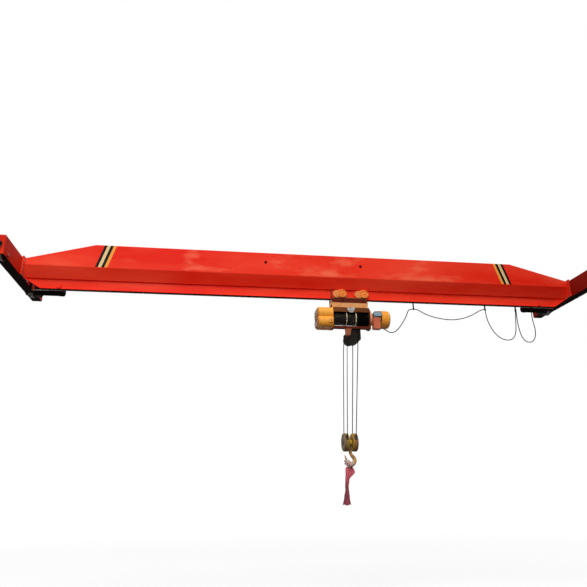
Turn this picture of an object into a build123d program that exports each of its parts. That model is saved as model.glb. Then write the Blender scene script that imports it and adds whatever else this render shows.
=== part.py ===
from build123d import *
import os
from math import atan, atan2, cos, pi, radians, sin, sqrt, tan

# Overhead bridge crane: one box girder with an I-beam track under it, an end carriage at each
# end, and an electric rope hoist that hangs from the I-beam on a four-wheel trolley.
# X runs along the girder, Y across it and Z up. The origin is where the front wheel of the
# left carriage stands on its rail: rail centre in X, wheel axle in Y, rail top in Z.
# All sizes are in millimetres.

# Bridge
span = 15000            # between the centres of the two rails
wheel_base = 2500       # between the axles of one carriage
mid_x = span / 2
mid_y = wheel_base / 2

# End carriages
carriage_width = 260
carriage_front_overhang = 250   # from the front axle to the end of the carriage
carriage_back_overhang = 500
carriage_bottom = 55
carriage_height = 470
carriage_plate = 8
carriage_edge = 10      # rounding of the long edges
joint_plate = 20        # seat plate on the carriage, and end plate on the girder
joint_half_width = 275
joint_top = 555

# Travel wheels
wheel_tread_radius = 135
wheel_flange_radius = 155
rail_groove = 70
wheel_flange = 20
wheel_hub_radius = 62
wheel_hub_width = 150
axle_radius = 30
axle_half_length = 150
axle_gap = 0.25         # running clearance round every axle
cartridge_hole_radius = 66
cartridge_flange_radius = 88
cartridge_flange = 12
cartridge_cover_radius = 62
cartridge_cover = 26
cartridge_spigot = 6    # inside the carriage wall
cover_edge = 7
pocket_half_width = 72  # opening for the wheel in the carriage's bottom plate
pocket_half_length = 178

# Travel drives
reducer_depth = 125
reducer_edge = 12
reducer_round = 135     # radius round the wheel axle
motor_round = 125       # radius round the motor axis
motor_offset_y = -165   # motor axis from the wheel axle
motor_offset_z = -25
motor_radius = 108
motor_length = 520
fan_cover_length = 120
fan_cover_radius = 116
fan_cover_edge = 14
motor_collar = 16
motor_ribs = 20
rib_depth = 12
rib_thickness = 5

# Buffers
buffer_radius = 55
buffer_length = 95
buffer_seat = 150
buffer_seat_plate = 12

# Girder
girder_half_width = 200
girder_plate = 6
girder_top = 975
girder_fold = 348       # lower edge of the upright sides
girder_end_top = 525
girder_taper = 1667
girder_edge = 16        # outer radius of the pressed folds
hole_radius = 37.5
hole_offset = 1293
hole_z = 697

# I-beam track
beam_top = 67
beam_height = 280
beam_half_width = 62
beam_web = 10.5
beam_flange_edge = 8.5
beam_flange_slope = 1 / 6
beam_root_radius = 10.5
beam_toe_radius = 5
beam_end_cut = 433      # how far the oblique end runs in at the bottom
beam_end_rise = 55      # height at which it starts
beam_end_plate = 10

# Trolley stops on the beam's web, in the way of the trolley wheels
stop_inset = 900        # from the girder's end to the face that the wheel would meet
stop_length = 110
stop_half_width = 58
stop_bottom = -182
stop_top = -92
stop_plate = 12

# Cable wire behind the girder
wire_y = 600
wire_z = -22
wire_radius = 4
wire_arm_width = 60
wire_arm_plate = 8
wire_arm_top = 250

# Trolley
trolley_offset = 1069   # centre of its wheels from mid-span
trolley_half_base = 300
trolley_axle_z = -75
tread_inner = 24        # inner end of the tread, from the beam's middle plane
tread_gap = 0.3
trolley_flange_gap = 3
trolley_flange = 14
trolley_flange_radius = 140
trolley_rim = 28        # depth of the wheel's rim, and of the dish inside it
trolley_dish = 6
trolley_hub_radius = 50
trolley_pin_radius = 20
side_gap = 5
side_plate = 16
side_top = -178
side_corner = 60
ear_radius = 100        # rounded ears of the side plates, to the left of each wheel
ear_reach = 150         # from the wheel's axis to the ear's far end
ear_step_radius = 92    # second layer of an ear
ear_step_reach = 75
ear_step = 15
cover_radius = 108      # round cover in front of each wheel, with a groove round its hub
cover_thickness = 24
cover_rim = 24
cover_groove = 8
cover_hub_radius = 56
guard_plate = 12        # strips beside the beam at the trolley's left end
guard_top = 55
guard_bottom = -300
box_end_plate_bottom = -400
box_beam_left = 476
box_beam_right = 1440
box_beam_half_width = 150
box_beam_top = -345
box_beam_bottom = -500
box_beam_plate = 12
tie_rod_radius = 17
tie_rod_z = -255
tie_rod_spacing = 560
tie_nut_radius = 30
tie_nut = 24
pin_fit = 0.1           # round pins and rods in the side plates

# Trolley drive on the back side
drive_left = 190        # ends of its gear case from the trolley's middle
drive_right = 120
drive_drop = 40         # below the wheel axles
drive_half_height = 75
drive_corner = 30
drive_reducer = 90
drive_motor_offset = -60
drive_radius = 65
drive_length = 170
drive_edge = 20

# Hoist
hoist_z = -745
frame_left = 475
frame_right = 1455
frame_plate = 20
frame_half_width = 230
frame_corner = 70
saddle_plate = 22
skirt_plate = 8         # sides of the saddle, in front of and behind the drum
skirt_bottom = -620
tie_bar_width = 26
front_bar_z = -1040
front_bar_height = 56
back_bar_z = -930
back_bar_height = 70
bar_end = 6             # end plate below each tie bar
lug_radius = 100
lug_plate = 24
lug_top = 45
lug_x = 957
drum_flange_radius = 199
drum_flange = 14
drum_wall = 14
drum_shaft_radius = 45
drum_end_gap = 3
rope_radius = 11
rope_groove_gap = 0.3   # between the rope and the bottom of its groove
rope_end_gap = 0.8      # where a leaning fall meets an upright one or a socket
guide_inner_radius = 206
guide_outer_radius = 218
guide_width = 24
guide_offsets = (845, 1095)
guide_rod_radius = 11
guide_rod_angles = (40, 140)

# Gear housing at the left end of the hoist: a casting of four lobes
gear_left = 62
gear_lobe_radius = 165
gear_lobe_y = 100       # centres of the lobes from the drum's axis
gear_lobe_up = 98
gear_lobe_down = 126
gear_chamfer = 45
gear_taper = 42         # degrees
gear_rim = 22
gear_rim_edge = 8
gear_cap_radius = 120
gear_cap = 12
gear_boss_radius = 72
gear_boss_x = 404
gear_boss_z = -875
gear_boss_reach = 285   # front of the boss from the drum's axis
gear_boss_edge = 12

# Hoist motor and its control box
motor_flange_radius = 240
motor_flange = 40
hoist_neck_radius = 165
hoist_motor_left = 1730
hoist_motor_radius = 235
hoist_motor_edge = 32
motor_right = 2028
control_left = 1520
control_right = 1726
control_top = -770
control_bottom = -1085
control_front = -282
control_back = -168
control_corner = 12
control_foot_inset = 40
control_foot_top = -775
control_foot_bottom = -805
cover_left = 1546
cover_right = 1786
cover_bottom = -735
cover_top = -600
cover_front = -276
cover_corner = 50
cover_foot_inset = 30
cover_gap = 2           # to the hoist motor

# Rope reeving: four falls from one rope
fall_y = 190            # from the girder's middle plane, and the pitch radius of drum and sheaves
anchor_x = 830
anchor_z = -1255
anchor_left = 783       # ends of the anchor's plates
anchor_right = 952
anchor_foot_left = 795
anchor_foot_right = 905
anchor_plate = 10
anchor_spread = 26      # from the rope to the middle of each plate
anchor_head = 14
anchor_pin_radius = 16
anchor_pin_rise = 60
anchor_pin_reach = 12
socket_radius = 19
socket_mouth_radius = 15
socket_height = 75
socket_depth = 25
upper_sheave_x = 950
upper_sheave_z = -1300
upper_sheave_radius = 130
upper_pin_radius = 22
cheek_gap = 4
cheek_plate = 10
cheek_head = 16
cheek_pin_reach = 14
cheek_corners = ((342, 50), (205, -85), (130, -125), (17, -100), (-123, 50), (-123, 140), (-20, 250))
drum_fall_x = 1160
block_x = 815
block_z = -3930
block_half_spacing = 107

# Hook block
sheave_width = 40
sheave_rim_depth = 20
sheave_edge = 4
sheave_web = 8          # half of the web's thickness
sheave_groove = 10      # half of the flat at the bottom of the groove
sheave_hub_radius = 55
sheave_hub_width = 66
guard_radius = 218
guard_half_width = 68
guard_wall = 5
guard_edge = 30
guard_slot_half_width = 30
guard_slot_reach = 40
pin_radius = 28
pin_head_radius = 44
pin_head = 16
crosshead_gap = 5       # between the crosshead and each guard
crosshead_half_depth = 60
crosshead_top = 48      # from the sheaves' axis
crosshead_bottom = -52
crosshead_edge = 10
hook_shank_radius = 24
hook_nut_radius = 33
hook_nut = 44
hook_seat_gap = 0.3
hook_neck_z = -4120
hook_centre_z = -4352
hook_bowl_radius = 100  # centre line of the bowl
ribbon_top = -4503.55
ribbon_bottom = -5370
ribbon_edge = 0.6       # rounding, as a share of half its thickness

# Festoon cable
cable_radius = 12
cable_end_gap = 0.3
cable_exit_y = -225     # gland in the control box's right wall
cable_exit_z = -1050
carrier_offsets = (0.2 * span, 0.344 * span, 0.407 * span)
clamp_offset = 0.44 * span
carrier_saddle_z = (-195, -135, -118)
carrier_half_width = 24
carrier_half_depth = 17
saddle_half_height = 20

beam_bottom = beam_top - beam_height
drum_radius = fall_y - rope_radius - rope_groove_gap
crosshead_half_width = block_half_spacing - guard_half_width - crosshead_gap
girder_left = carriage_width / 2 + 2 * joint_plate
girder_right = span - girder_left
carriage_top = carriage_bottom + carriage_height
carriage_front = -carriage_front_overhang
carriage_back = wheel_base + carriage_back_overhang
axle_z = wheel_tread_radius
axle_ys = (0, wheel_base)


def block(x0, x1, y0, y1, z0, z1):
    box = Box(x1 - x0, y1 - y0, z1 - z0)
    return Pos((x0 + x1) / 2, (y0 + y1) / 2, (z0 + z1) / 2) * box


def along_x(points, x0, x1):
    """Extrudes an outline of (y, z) points from x0 to x1."""
    face = Plane.YZ * make_face(Polyline(*points, close=True))
    return Pos(x0, 0, 0) * extrude(face, amount=x1 - x0)


def along_y(points, y0, y1):
    """Extrudes an outline of (x, z) points from y0 to y1."""
    side = Plane((0, y1, 0), x_dir=(1, 0, 0), z_dir=(0, -1, 0))
    return extrude(side * make_face(Polyline(*points, close=True)), amount=y1 - y0)


def turned_x(points, x, y, z):
    """Revolves (distance along X, radius) points about an X axis through a place."""
    return Pos(x, y, z) * revolve(make_face(Polyline(*points, close=True)), axis=Axis.X)


def turned_y(points, x, y, z):
    """Revolves (distance along Y, radius) points about a Y axis through a place."""
    outline = [(radius, distance) for distance, radius in points]
    return Pos(x, y, z) * revolve(make_face(Polyline(*outline, close=True)), axis=Axis.Y)


def turned_z(points, x, y, z):
    """Revolves (radius, height) points about a Z axis through a place."""
    face = Plane.XZ * make_face(Polyline(*points, close=True))
    return Pos(x, y, z) * revolve(face, axis=Axis.Z)


def rod(start, end, radius):
    line = Vector(*end) - Vector(*start)
    plane = Plane(origin=start, z_dir=line.normalized())
    return extrude(plane * Circle(radius), amount=line.length)


def disc_x(radius, x0, x1, y, z):
    return rod((x0, y, z), (x1, y, z), radius)


def disc_y(radius, y0, y1, x, z):
    return rod((x, y0, z), (x, y1, z), radius)


def mirrored(shape):
    """The same piece at the other end of the bridge."""
    return mirror(shape, about=Plane((mid_x, 0, 0), x_dir=(0, 1, 0), z_dir=(1, 0, 0)))


def across(shape):
    """The same piece on the other side of the girder."""
    return mirror(shape, about=Plane((0, mid_y, 0), x_dir=(1, 0, 0), z_dir=(0, 1, 0)))


def group(*shapes):
    return Compound(children=[solid for shape in shapes for solid in shape.solids()])


def both_ends(*shapes):
    return group(*shapes, *[mirrored(shape) for shape in shapes])


def slope_top(offset, x):
    """Height of the sloping top, moved inwards by a plate thickness, at a distance from the end."""
    rise = (girder_top - girder_end_top) / girder_taper
    return girder_end_top + x * rise - offset / cos(atan(rise))


# Girder
def girder_channel():
    rise = (girder_top - girder_end_top) / girder_taper
    outer = [
        (girder_left, girder_fold),
        (girder_left, girder_end_top),
        (girder_left + girder_taper, girder_top),
        (girder_right - girder_taper, girder_top),
        (girder_right, girder_end_top),
        (girder_right, girder_fold),
    ]
    over = 50
    under_top = girder_top - girder_plate
    bend = (under_top - slope_top(girder_plate, 0)) / rise
    inner = [
        (girder_left - over, girder_fold - over),
        (girder_left - over, slope_top(girder_plate, -over)),
        (girder_left + bend, under_top),
        (girder_right - bend, under_top),
        (girder_right + over, slope_top(girder_plate, -over)),
        (girder_right + over, girder_fold - over),
    ]
    side = girder_half_width
    shell = along_y(outer, mid_y - side, mid_y + side)
    top_edges = [
        edge for edge in shell.edges()
        if abs(abs(edge.center().Y - mid_y) - side) < 0.01 and edge.center().Z > girder_end_top + 1
    ]
    shell = fillet(top_edges, girder_edge)
    side -= girder_plate
    hollow = along_y(inner, mid_y - side, mid_y + side)
    inside_edges = [
        edge for edge in hollow.edges()
        if abs(abs(edge.center().Y - mid_y) - side) < 0.01 and edge.center().Z > girder_end_top + 1
    ]
    shell -= fillet(inside_edges, girder_edge - girder_plate)
    for sign in (-1, 1):
        hole_x = mid_x + sign * hole_offset
        shell -= disc_y(hole_radius, mid_y - girder_half_width - 1, mid_y + girder_half_width + 1,
                        hole_x, hole_z)
    return shell


def inclined_web():
    """The sloping side plate between the channel and the beam, on the front side."""
    run = girder_half_width - beam_half_width
    rise = girder_fold - beam_top
    cut = girder_plate * sqrt(run**2 + rise**2) / rise
    outline = [
        (mid_y - girder_half_width, girder_fold),
        (mid_y - girder_half_width + cut, girder_fold),
        (mid_y - beam_half_width + cut, beam_top),
        (mid_y - beam_half_width, beam_top),
    ]
    return along_x(outline, girder_left, girder_right)


def running_beam():
    edge = beam_flange_edge
    root = edge + (beam_half_width - beam_web / 2) * beam_flange_slope
    half = [
        (beam_half_width, beam_bottom),
        (beam_half_width, beam_bottom + edge),
        (beam_web / 2, beam_bottom + root),
        (beam_web / 2, beam_top - root),
        (beam_half_width, beam_top - edge),
        (beam_half_width, beam_top),
    ]
    outline = half + [(-y, z) for y, z in reversed(half)]
    section = make_face(Polyline(*outline, close=True))
    roots = [v for v in section.vertices() if abs(abs(v.X) - beam_web / 2) < 0.01]
    section = fillet(roots, beam_root_radius)
    toes = [
        v for v in section.vertices()
        if abs(abs(v.X) - beam_half_width) < 0.01
        and min(abs(v.Y - beam_bottom - edge), abs(v.Y - beam_top + edge)) < 0.01
    ]
    section = fillet(toes, beam_toe_radius)
    bar = extrude(Plane.YZ * section, amount=girder_right - girder_left)
    bar = Pos(girder_left, mid_y, 0) * bar
    outline = [
        (girder_left, beam_top + 1),
        (girder_left, beam_end_rise),
        (girder_left + beam_end_cut, beam_bottom),
        (girder_right - beam_end_cut, beam_bottom),
        (girder_right, beam_end_rise),
        (girder_right, beam_top + 1),
    ]
    return bar & along_y(outline, mid_y - beam_half_width - 1, mid_y + beam_half_width + 1)


def beam_end_plates():
    """Oblique plates that close the cut ends of the beam."""
    angle = atan2(beam_end_rise - beam_bottom, beam_end_cut)
    outline = [
        (girder_left, beam_end_rise),
        (girder_left + beam_end_cut, beam_bottom),
        (girder_left + beam_end_cut - beam_end_plate / sin(angle), beam_bottom),
        (girder_left, beam_end_rise - beam_end_plate / cos(angle)),
    ]
    reach = beam_half_width + 8
    return both_ends(along_y(outline, mid_y - reach, mid_y + reach))


def girder_flange():
    left = girder_left - joint_plate
    return block(left, girder_left, mid_y - joint_half_width, mid_y + joint_half_width,
                 carriage_bottom + 5, joint_top)


def trolley_stop():
    """Left stop in front of the web: an angle whose upright leg the wheel would meet."""
    x1 = girder_left + stop_inset
    x0 = x1 - stop_length
    web = mid_y - beam_web / 2
    front = mid_y - stop_half_width
    upright = block(x1 - stop_plate, x1, front, web, stop_bottom, stop_top)
    foot = block(x0, x1, web - stop_plate, web, stop_bottom, stop_top)
    rib = block(x0 + stop_plate, x1, front + stop_plate, web, stop_bottom, stop_bottom + stop_plate)
    return upright + foot + rib


# End carriages
def end_carriage():
    half = carriage_width / 2
    shell = block(-half, half, carriage_front, carriage_back, carriage_bottom, carriage_top)
    long_edges = shell.edges().filter_by(Axis.Y)
    shell = fillet(long_edges, carriage_edge)
    wall = carriage_plate
    shell -= block(-half + wall, half - wall, carriage_front + wall, carriage_back - wall,
                   carriage_bottom + wall, carriage_top - wall)
    for y in axle_ys:
        shell -= block(-pocket_half_width, pocket_half_width, y - pocket_half_length,
                       y + pocket_half_length, carriage_bottom - 1, carriage_bottom + wall + 1)
        shell -= disc_x(cartridge_hole_radius, -half - 1, half + 1, y, axle_z)
    seat = block(half, half + joint_plate, mid_y - joint_half_width, mid_y + joint_half_width,
                 carriage_bottom + 5, joint_top)
    return shell + seat


def travel_wheel(y):
    groove = rail_groove / 2
    rim = groove + wheel_flange
    hub = wheel_hub_width / 2
    profile = [
        (-axle_half_length, 0), (-axle_half_length, axle_radius), (-hub, axle_radius),
        (-hub, wheel_hub_radius), (-rim + 12, wheel_hub_radius), (-rim, wheel_tread_radius - 22),
        (-rim, wheel_flange_radius), (-groove - 4, wheel_flange_radius),
        (-groove, wheel_tread_radius), (groove, wheel_tread_radius),
        (groove + 4, wheel_flange_radius), (rim, wheel_flange_radius),
        (rim, wheel_tread_radius - 22), (rim - 12, wheel_hub_radius), (hub, wheel_hub_radius),
        (hub, axle_radius), (axle_half_length, axle_radius), (axle_half_length, 0),
    ]
    return turned_x(profile, 0, y, axle_z)


def cartridge(y, side):
    """Bearing cartridge bolted to the carriage wall; side is -1 for the wall away from the girder."""
    bore = axle_radius + axle_gap
    spigot = cartridge_hole_radius - axle_gap
    spigot_end = -carriage_plate - cartridge_spigot
    cover_end = cartridge_flange + cartridge_cover
    profile = [
        (spigot_end, bore), (spigot_end, spigot), (0, spigot), (0, cartridge_flange_radius),
        (cartridge_flange, cartridge_flange_radius), (cartridge_flange, cartridge_cover_radius),
        (cover_end - cover_edge, cartridge_cover_radius),
        (cover_end, cartridge_cover_radius - 2 * cover_edge), (cover_end, 0),
        (cover_end - cartridge_flange, 0), (cover_end - cartridge_flange, bore),
    ]
    return turned_x([(side * x, r) for x, r in profile], side * carriage_width / 2, y, axle_z)


def reducer():
    """Gear case that carries the travel motor on the inner wall at the back wheel."""
    inner = carriage_width / 2
    outer = inner + reducer_depth
    y = wheel_base
    motor_y = y + motor_offset_y
    motor_z = axle_z + motor_offset_z
    length = sqrt(motor_offset_y**2 + motor_offset_z**2)
    nx = -motor_offset_z / length
    ny = motor_offset_y / length
    sides = [
        (y + nx * reducer_round, axle_z + ny * reducer_round),
        (y - nx * reducer_round, axle_z - ny * reducer_round),
        (motor_y - nx * motor_round, motor_z - ny * motor_round),
        (motor_y + nx * motor_round, motor_z + ny * motor_round),
    ]
    case = along_x(sides, inner, outer)
    case += disc_x(reducer_round, inner, outer, y, axle_z)
    case += disc_x(motor_round, inner, outer, motor_y, motor_z)
    face_edges = [edge for edge in case.edges() if abs(edge.center().X - outer) < 0.01]
    case = fillet(face_edges, reducer_edge)
    spigot_end = inner - carriage_plate - cartridge_spigot
    case += disc_x(cartridge_hole_radius - axle_gap, spigot_end, inner, y, axle_z)
    case -= disc_x(axle_radius + axle_gap, spigot_end - 1, axle_half_length + cartridge_spigot, y,
                   axle_z)
    return case


def travel_motor():
    """Ribbed motor with a fan cover at its free end."""
    x0 = carriage_width / 2 + reducer_depth
    y = wheel_base + motor_offset_y
    z = axle_z + motor_offset_z
    length = motor_length
    end = motor_length + fan_cover_length
    core = motor_radius - rib_depth
    profile = [
        (0, 0), (0, motor_radius), (motor_collar, motor_radius), (motor_collar, core),
        (length - motor_collar, core), (length - motor_collar, motor_radius),
        (length, motor_radius), (length, fan_cover_radius),
        (end - 2 * fan_cover_edge, fan_cover_radius), (end - fan_cover_edge / 2,
                                                        fan_cover_radius - fan_cover_edge),
        (end, fan_cover_radius - 2 * fan_cover_edge), (end, 0),
    ]
    body = turned_x(profile, x0, y, z)
    rib = block(x0 + motor_collar / 2, x0 + length - motor_collar / 2, -rib_thickness / 2,
                rib_thickness / 2, core - rib_thickness, motor_radius)
    for n in range(motor_ribs):
        body += Pos(0, y, z) * (Rot(360 / motor_ribs * n, 0, 0) * rib)
    return body


def buffer(face, outwards):
    """Rubber buffer on a seat face; outwards is -1 at the front end."""
    profile = [
        (0, 0), (0, buffer_radius), (0.55 * buffer_length, buffer_radius),
        (0.8 * buffer_length, 0.85 * buffer_radius), (buffer_length, 0.6 * buffer_radius),
        (buffer_length, 0),
    ]
    z = (carriage_bottom + carriage_top) / 2
    return turned_y([(outwards * y, r) for y, r in profile], 0, face, z)


def buffer_pair():
    return group(buffer(carriage_front - buffer_seat_plate, -1),
                 buffer(carriage_back + buffer_seat_plate, 1))


def buffer_seats():
    z = (carriage_bottom + carriage_top) / 2
    half = buffer_seat / 2
    seats = [(carriage_front - buffer_seat_plate, carriage_front),
             (carriage_back, carriage_back + buffer_seat_plate)]
    return group(*[block(-half, half, y0, y1, z - half, z + half) for y0, y1 in seats])


# Wire for the cable carriers
def wire_arm():
    """Left bracket: an angle on the carriage's inner wall, with an eye for the wire."""
    x0 = carriage_width / 2
    y0 = mid_y + wire_y - wire_arm_width / 2
    y1 = y0 + wire_arm_width
    low = wire_z - wire_arm_width / 2
    upright = block(x0, x0 + wire_arm_plate, y0, y1, low, wire_arm_top)
    rib = block(x0 + wire_arm_plate, x0 + wire_arm_width, y0, y0 + wire_arm_plate, low, wire_arm_top)
    boss = disc_x(3 * wire_radius, x0 + wire_arm_plate, x0 + 2 * wire_arm_plate,
                  mid_y + wire_y, wire_z)
    return upright + rib + boss


def festoon_wire():
    end = carriage_width / 2 + 2 * wire_arm_plate
    y = mid_y + wire_y
    return rod((end, y, wire_z), (span - end, y, wire_z), wire_radius)


# Trolley
def trolley_wheel(x, side):
    """Wheel with a conical tread that matches the sloping flange; side is -1 at the front."""
    surface = trolley_axle_z - beam_bottom - beam_flange_edge
    inner_radius = surface - (beam_half_width - tread_inner) * beam_flange_slope - tread_gap
    flange_in = beam_half_width + trolley_flange_gap
    outer_radius = surface + trolley_flange_gap * beam_flange_slope - tread_gap
    flange_out = flange_in + trolley_flange
    hub_end = flange_out + side_gap / 2
    rim = trolley_flange_radius - trolley_rim
    bore = trolley_pin_radius + axle_gap
    profile = [
        (tread_inner, bore), (tread_inner, inner_radius), (flange_in, outer_radius),
        (flange_in, trolley_flange_radius), (flange_out, trolley_flange_radius),
        (flange_out, rim), (flange_out - trolley_dish, rim - trolley_dish),
        (flange_out - trolley_dish, trolley_hub_radius), (hub_end, trolley_hub_radius - trolley_dish),
        (hub_end, bore),
    ]
    return turned_y([(side * y, r) for y, r in profile], x, mid_y, trolley_axle_z)


def side_face(side):
    return mid_y + side * (beam_half_width + trolley_flange_gap + trolley_flange + side_gap)


def ear(x, reach, radius, y0, y1):
    """Plate with a round end to the left of a wheel's axis and another on the axis."""
    plate = disc_y(radius, y0, y1, x, trolley_axle_z) + disc_y(radius, y0, y1, x - reach, trolley_axle_z)
    return plate + block(x - reach, x, y0, y1, trolley_axle_z - radius, trolley_axle_z + radius)


def trolley_side(side):
    """Side plate with a stepped ear round each wheel pin; side is -1 at the front."""
    inner = side_face(side)
    outer = inner + side * side_plate
    step = outer + side * ear_step
    y0, y1 = min(inner, outer), max(inner, outer)
    left = mid_x + box_beam_left
    right = mid_x + box_beam_right
    low = box_beam_top
    outline = [
        (left, low), (right, low), (right, side_top - side_corner), (right - side_corner, side_top),
        (left + side_corner, side_top), (left, side_top - side_corner),
    ]
    plate = along_y(outline, y0, y1)
    for wheel in (-1, 1):
        x = mid_x + trolley_offset + wheel * trolley_half_base
        plate += ear(x, ear_reach, ear_radius, y0, y1)
        plate += block(x - ear_reach, x + ear_radius, y0, y1, side_top - 1, trolley_axle_z)
        plate += ear(x, ear_step_reach, ear_step_radius, min(outer, step), max(outer, step))
    for wheel in (-1, 1):
        x = mid_x + trolley_offset + wheel * trolley_half_base
        plate -= disc_y(trolley_pin_radius + pin_fit, min(inner, step) - 1, max(inner, step) + 1, x,
                        trolley_axle_z)
    for end in (-1, 1):
        x = mid_x + trolley_offset + end * tie_rod_spacing / 2
        plate -= disc_y(tie_rod_radius + pin_fit, y0 - 1, y1 + 1, x, tie_rod_z)
    return plate


def end_guard(side):
    """Strip beside the beam at the trolley's left end; side is -1 at the front."""
    left = mid_x + box_beam_left
    inner = side_face(side)
    outer = mid_y + side * box_beam_half_width
    return block(left - guard_plate, left, min(inner, outer), max(inner, outer), guard_bottom, guard_top)


def trolley_sides():
    return group(*[trolley_side(side) + end_guard(side) for side in (-1, 1)])


def trolley_pins():
    """Wheel pins, each with a round grooved cover against the stepped ear."""
    pins = []
    for side in (-1, 1):
        start = mid_y + side * (tread_inner - trolley_dish)
        shank = abs(side_face(side) - start) + side_plate + ear_step
        face = shank + cover_thickness
        floor = face - cover_groove
        profile = [
            (0, 0), (0, trolley_pin_radius), (shank, trolley_pin_radius), (shank, cover_radius),
            (face, cover_radius), (face, cover_radius - cover_rim),
            (floor, cover_radius - cover_rim - cover_groove),
            (floor, cover_hub_radius + cover_groove), (face, cover_hub_radius), (face, 0),
        ]
        for wheel in (-1, 1):
            x = mid_x + trolley_offset + wheel * trolley_half_base
            pins.append(turned_y([(side * y, r) for y, r in profile], x, start, trolley_axle_z))
    return group(*pins)


def tie_rods():
    rods = []
    reach = side_face(1) + side_plate - mid_y
    for end in (-1, 1):
        x = mid_x + trolley_offset + end * tie_rod_spacing / 2
        profile = [
            (-reach - tie_nut, 0), (-reach - tie_nut, tie_nut_radius), (-reach, tie_nut_radius),
            (-reach, tie_rod_radius), (reach, tie_rod_radius), (reach, tie_nut_radius),
            (reach + tie_nut, tie_nut_radius), (reach + tie_nut, 0),
        ]
        rods.append(turned_y(profile, x, mid_y, tie_rod_z))
    return group(*rods)


def box_beam():
    """Hollow beam under the trolley, with a plate that stands up at each end."""
    x0 = mid_x + box_beam_left
    x1 = mid_x + box_beam_right
    y0 = mid_y - box_beam_half_width
    y1 = mid_y + box_beam_half_width
    wall = box_beam_plate
    beam = block(x0, x1, y0, y1, box_beam_bottom, box_beam_top)
    beam -= block(x0 - 1, x1 + 1, y0 + wall, y1 - wall, box_beam_bottom + wall, box_beam_top - wall)
    beam += block(x0 - wall, x0, y0, y1, box_end_plate_bottom, guard_bottom)
    return beam + block(x1, x1 + wall, y0, y1, box_end_plate_bottom, guard_bottom)


def trolley_drive():
    """Small geared motor that drives the trolley, on the back side plate."""
    face = side_face(1) + side_plate
    x = mid_x + trolley_offset
    z = trolley_axle_z - drive_drop
    case = block(x - drive_left, x + drive_right, face, face + drive_reducer, z - drive_half_height,
                 z + drive_half_height)
    case = fillet(case.edges().filter_by(Axis.Y), drive_corner)
    profile = [
        (0, 0), (0, drive_radius), (drive_length - 2 * drive_edge, drive_radius),
        (drive_length, drive_radius - drive_edge), (drive_length, 0),
    ]
    return case + turned_y(profile, x + drive_motor_offset, face + drive_reducer, z)


# Hoist
def frame_outline(x0, x1):
    """End plate of the hoist frame: low at the front bar, cut away towards the higher back bar."""
    y = frame_half_width
    c = frame_corner
    top = box_beam_bottom
    low = front_bar_z - front_bar_height / 2 - bar_end
    back_low = back_bar_z - back_bar_height / 2 - bar_end
    outline = [
        (mid_y - y + c, top), (mid_y + y - c, top), (mid_y + y, top - c), (mid_y + y, back_low),
        (mid_y, low), (mid_y - y, low), (mid_y - y, top - c),
    ]
    return along_x(outline, x0, x1)


def hoist_end_plate(x0):
    plate = frame_outline(x0, x0 + frame_plate)
    return plate - disc_x(drum_shaft_radius + axle_gap, x0 - 1, x0 + frame_plate + 1, mid_y, hoist_z)


def hoist_saddle():
    """Plate over the drum with a skirt down its front and its back."""
    x0 = mid_x + frame_left + frame_plate
    x1 = mid_x + frame_right
    outer = frame_half_width
    inner = outer - skirt_plate
    top = box_beam_bottom
    bend = top - saddle_plate
    outline = [
        (mid_y - outer, skirt_bottom), (mid_y - inner, skirt_bottom), (mid_y - inner, bend),
        (mid_y + inner, bend), (mid_y + inner, skirt_bottom), (mid_y + outer, skirt_bottom),
        (mid_y + outer, top), (mid_y - outer, top),
    ]
    return along_x(outline, x0, x1)


def tie_bar(side):
    """Bar between the end plates under the drum; side is -1 at the front."""
    x0 = mid_x + frame_left + frame_plate
    x1 = mid_x + frame_right
    outer = mid_y + side * frame_half_width
    inner = outer - side * tie_bar_width
    middle, height = (front_bar_z, front_bar_height) if side < 0 else (back_bar_z, back_bar_height)
    return block(x0, x1, min(inner, outer), max(inner, outer), middle - height / 2,
                 middle + height / 2)


def suspension_lug():
    """Round lug in front of the saddle's skirt: a half disc under a short straight top."""
    x = mid_x + lug_x
    y1 = mid_y - frame_half_width
    y0 = y1 - lug_plate
    centre_z = box_beam_bottom - lug_top
    low = disc_y(lug_radius, y0, y1, x, centre_z)
    low &= block(x - lug_radius, x + lug_radius, y0, y1, centre_z - lug_radius, centre_z)
    return low + block(x - lug_radius, x + lug_radius, y0, y1, centre_z, box_beam_bottom)


def rope_drum():
    """Drum with end flanges and stub shafts in the frame's end plates."""
    x0 = mid_x + frame_left + frame_plate + drum_end_gap
    x1 = mid_x + frame_right - drum_end_gap
    length = x1 - x0
    inner = drum_radius - drum_wall
    reach = drum_end_gap + frame_plate - 1
    profile = [
        (-reach, 0), (-reach, drum_shaft_radius), (0, drum_shaft_radius),
        (0, drum_flange_radius), (drum_flange, drum_flange_radius), (drum_flange, drum_radius),
        (length - drum_flange, drum_radius), (length - drum_flange, drum_flange_radius),
        (length, drum_flange_radius), (length, drum_shaft_radius),
        (length + reach, drum_shaft_radius), (length + reach, 0),
    ]
    hollow = [
        (drum_flange, 0), (drum_flange, inner), (length - drum_flange, inner),
        (length - drum_flange, 0),
    ]
    return turned_x(profile, x0, mid_y, hoist_z) - turned_x(hollow, x0, mid_y, hoist_z)


def rope_guide():
    """Two rings round the drum on a pair of rods between the end plates."""
    x0 = mid_x + frame_left + frame_plate
    x1 = mid_x + frame_right
    rod_radius = (guide_outer_radius + guide_inner_radius + guide_rod_radius) / 2
    guide = Part()
    for offset in guide_offsets:
        x = mid_x + offset
        ring = disc_x(guide_outer_radius, x - guide_width / 2, x + guide_width / 2, mid_y, hoist_z)
        ring -= disc_x(guide_inner_radius, x - guide_width, x + guide_width, mid_y, hoist_z)
        guide += ring
    for angle in guide_rod_angles:
        y = mid_y + rod_radius * sin(radians(angle))
        z = hoist_z + rod_radius * cos(radians(angle))
        guide += disc_x(guide_rod_radius, x0, x1, y, z)
    return guide


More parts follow.
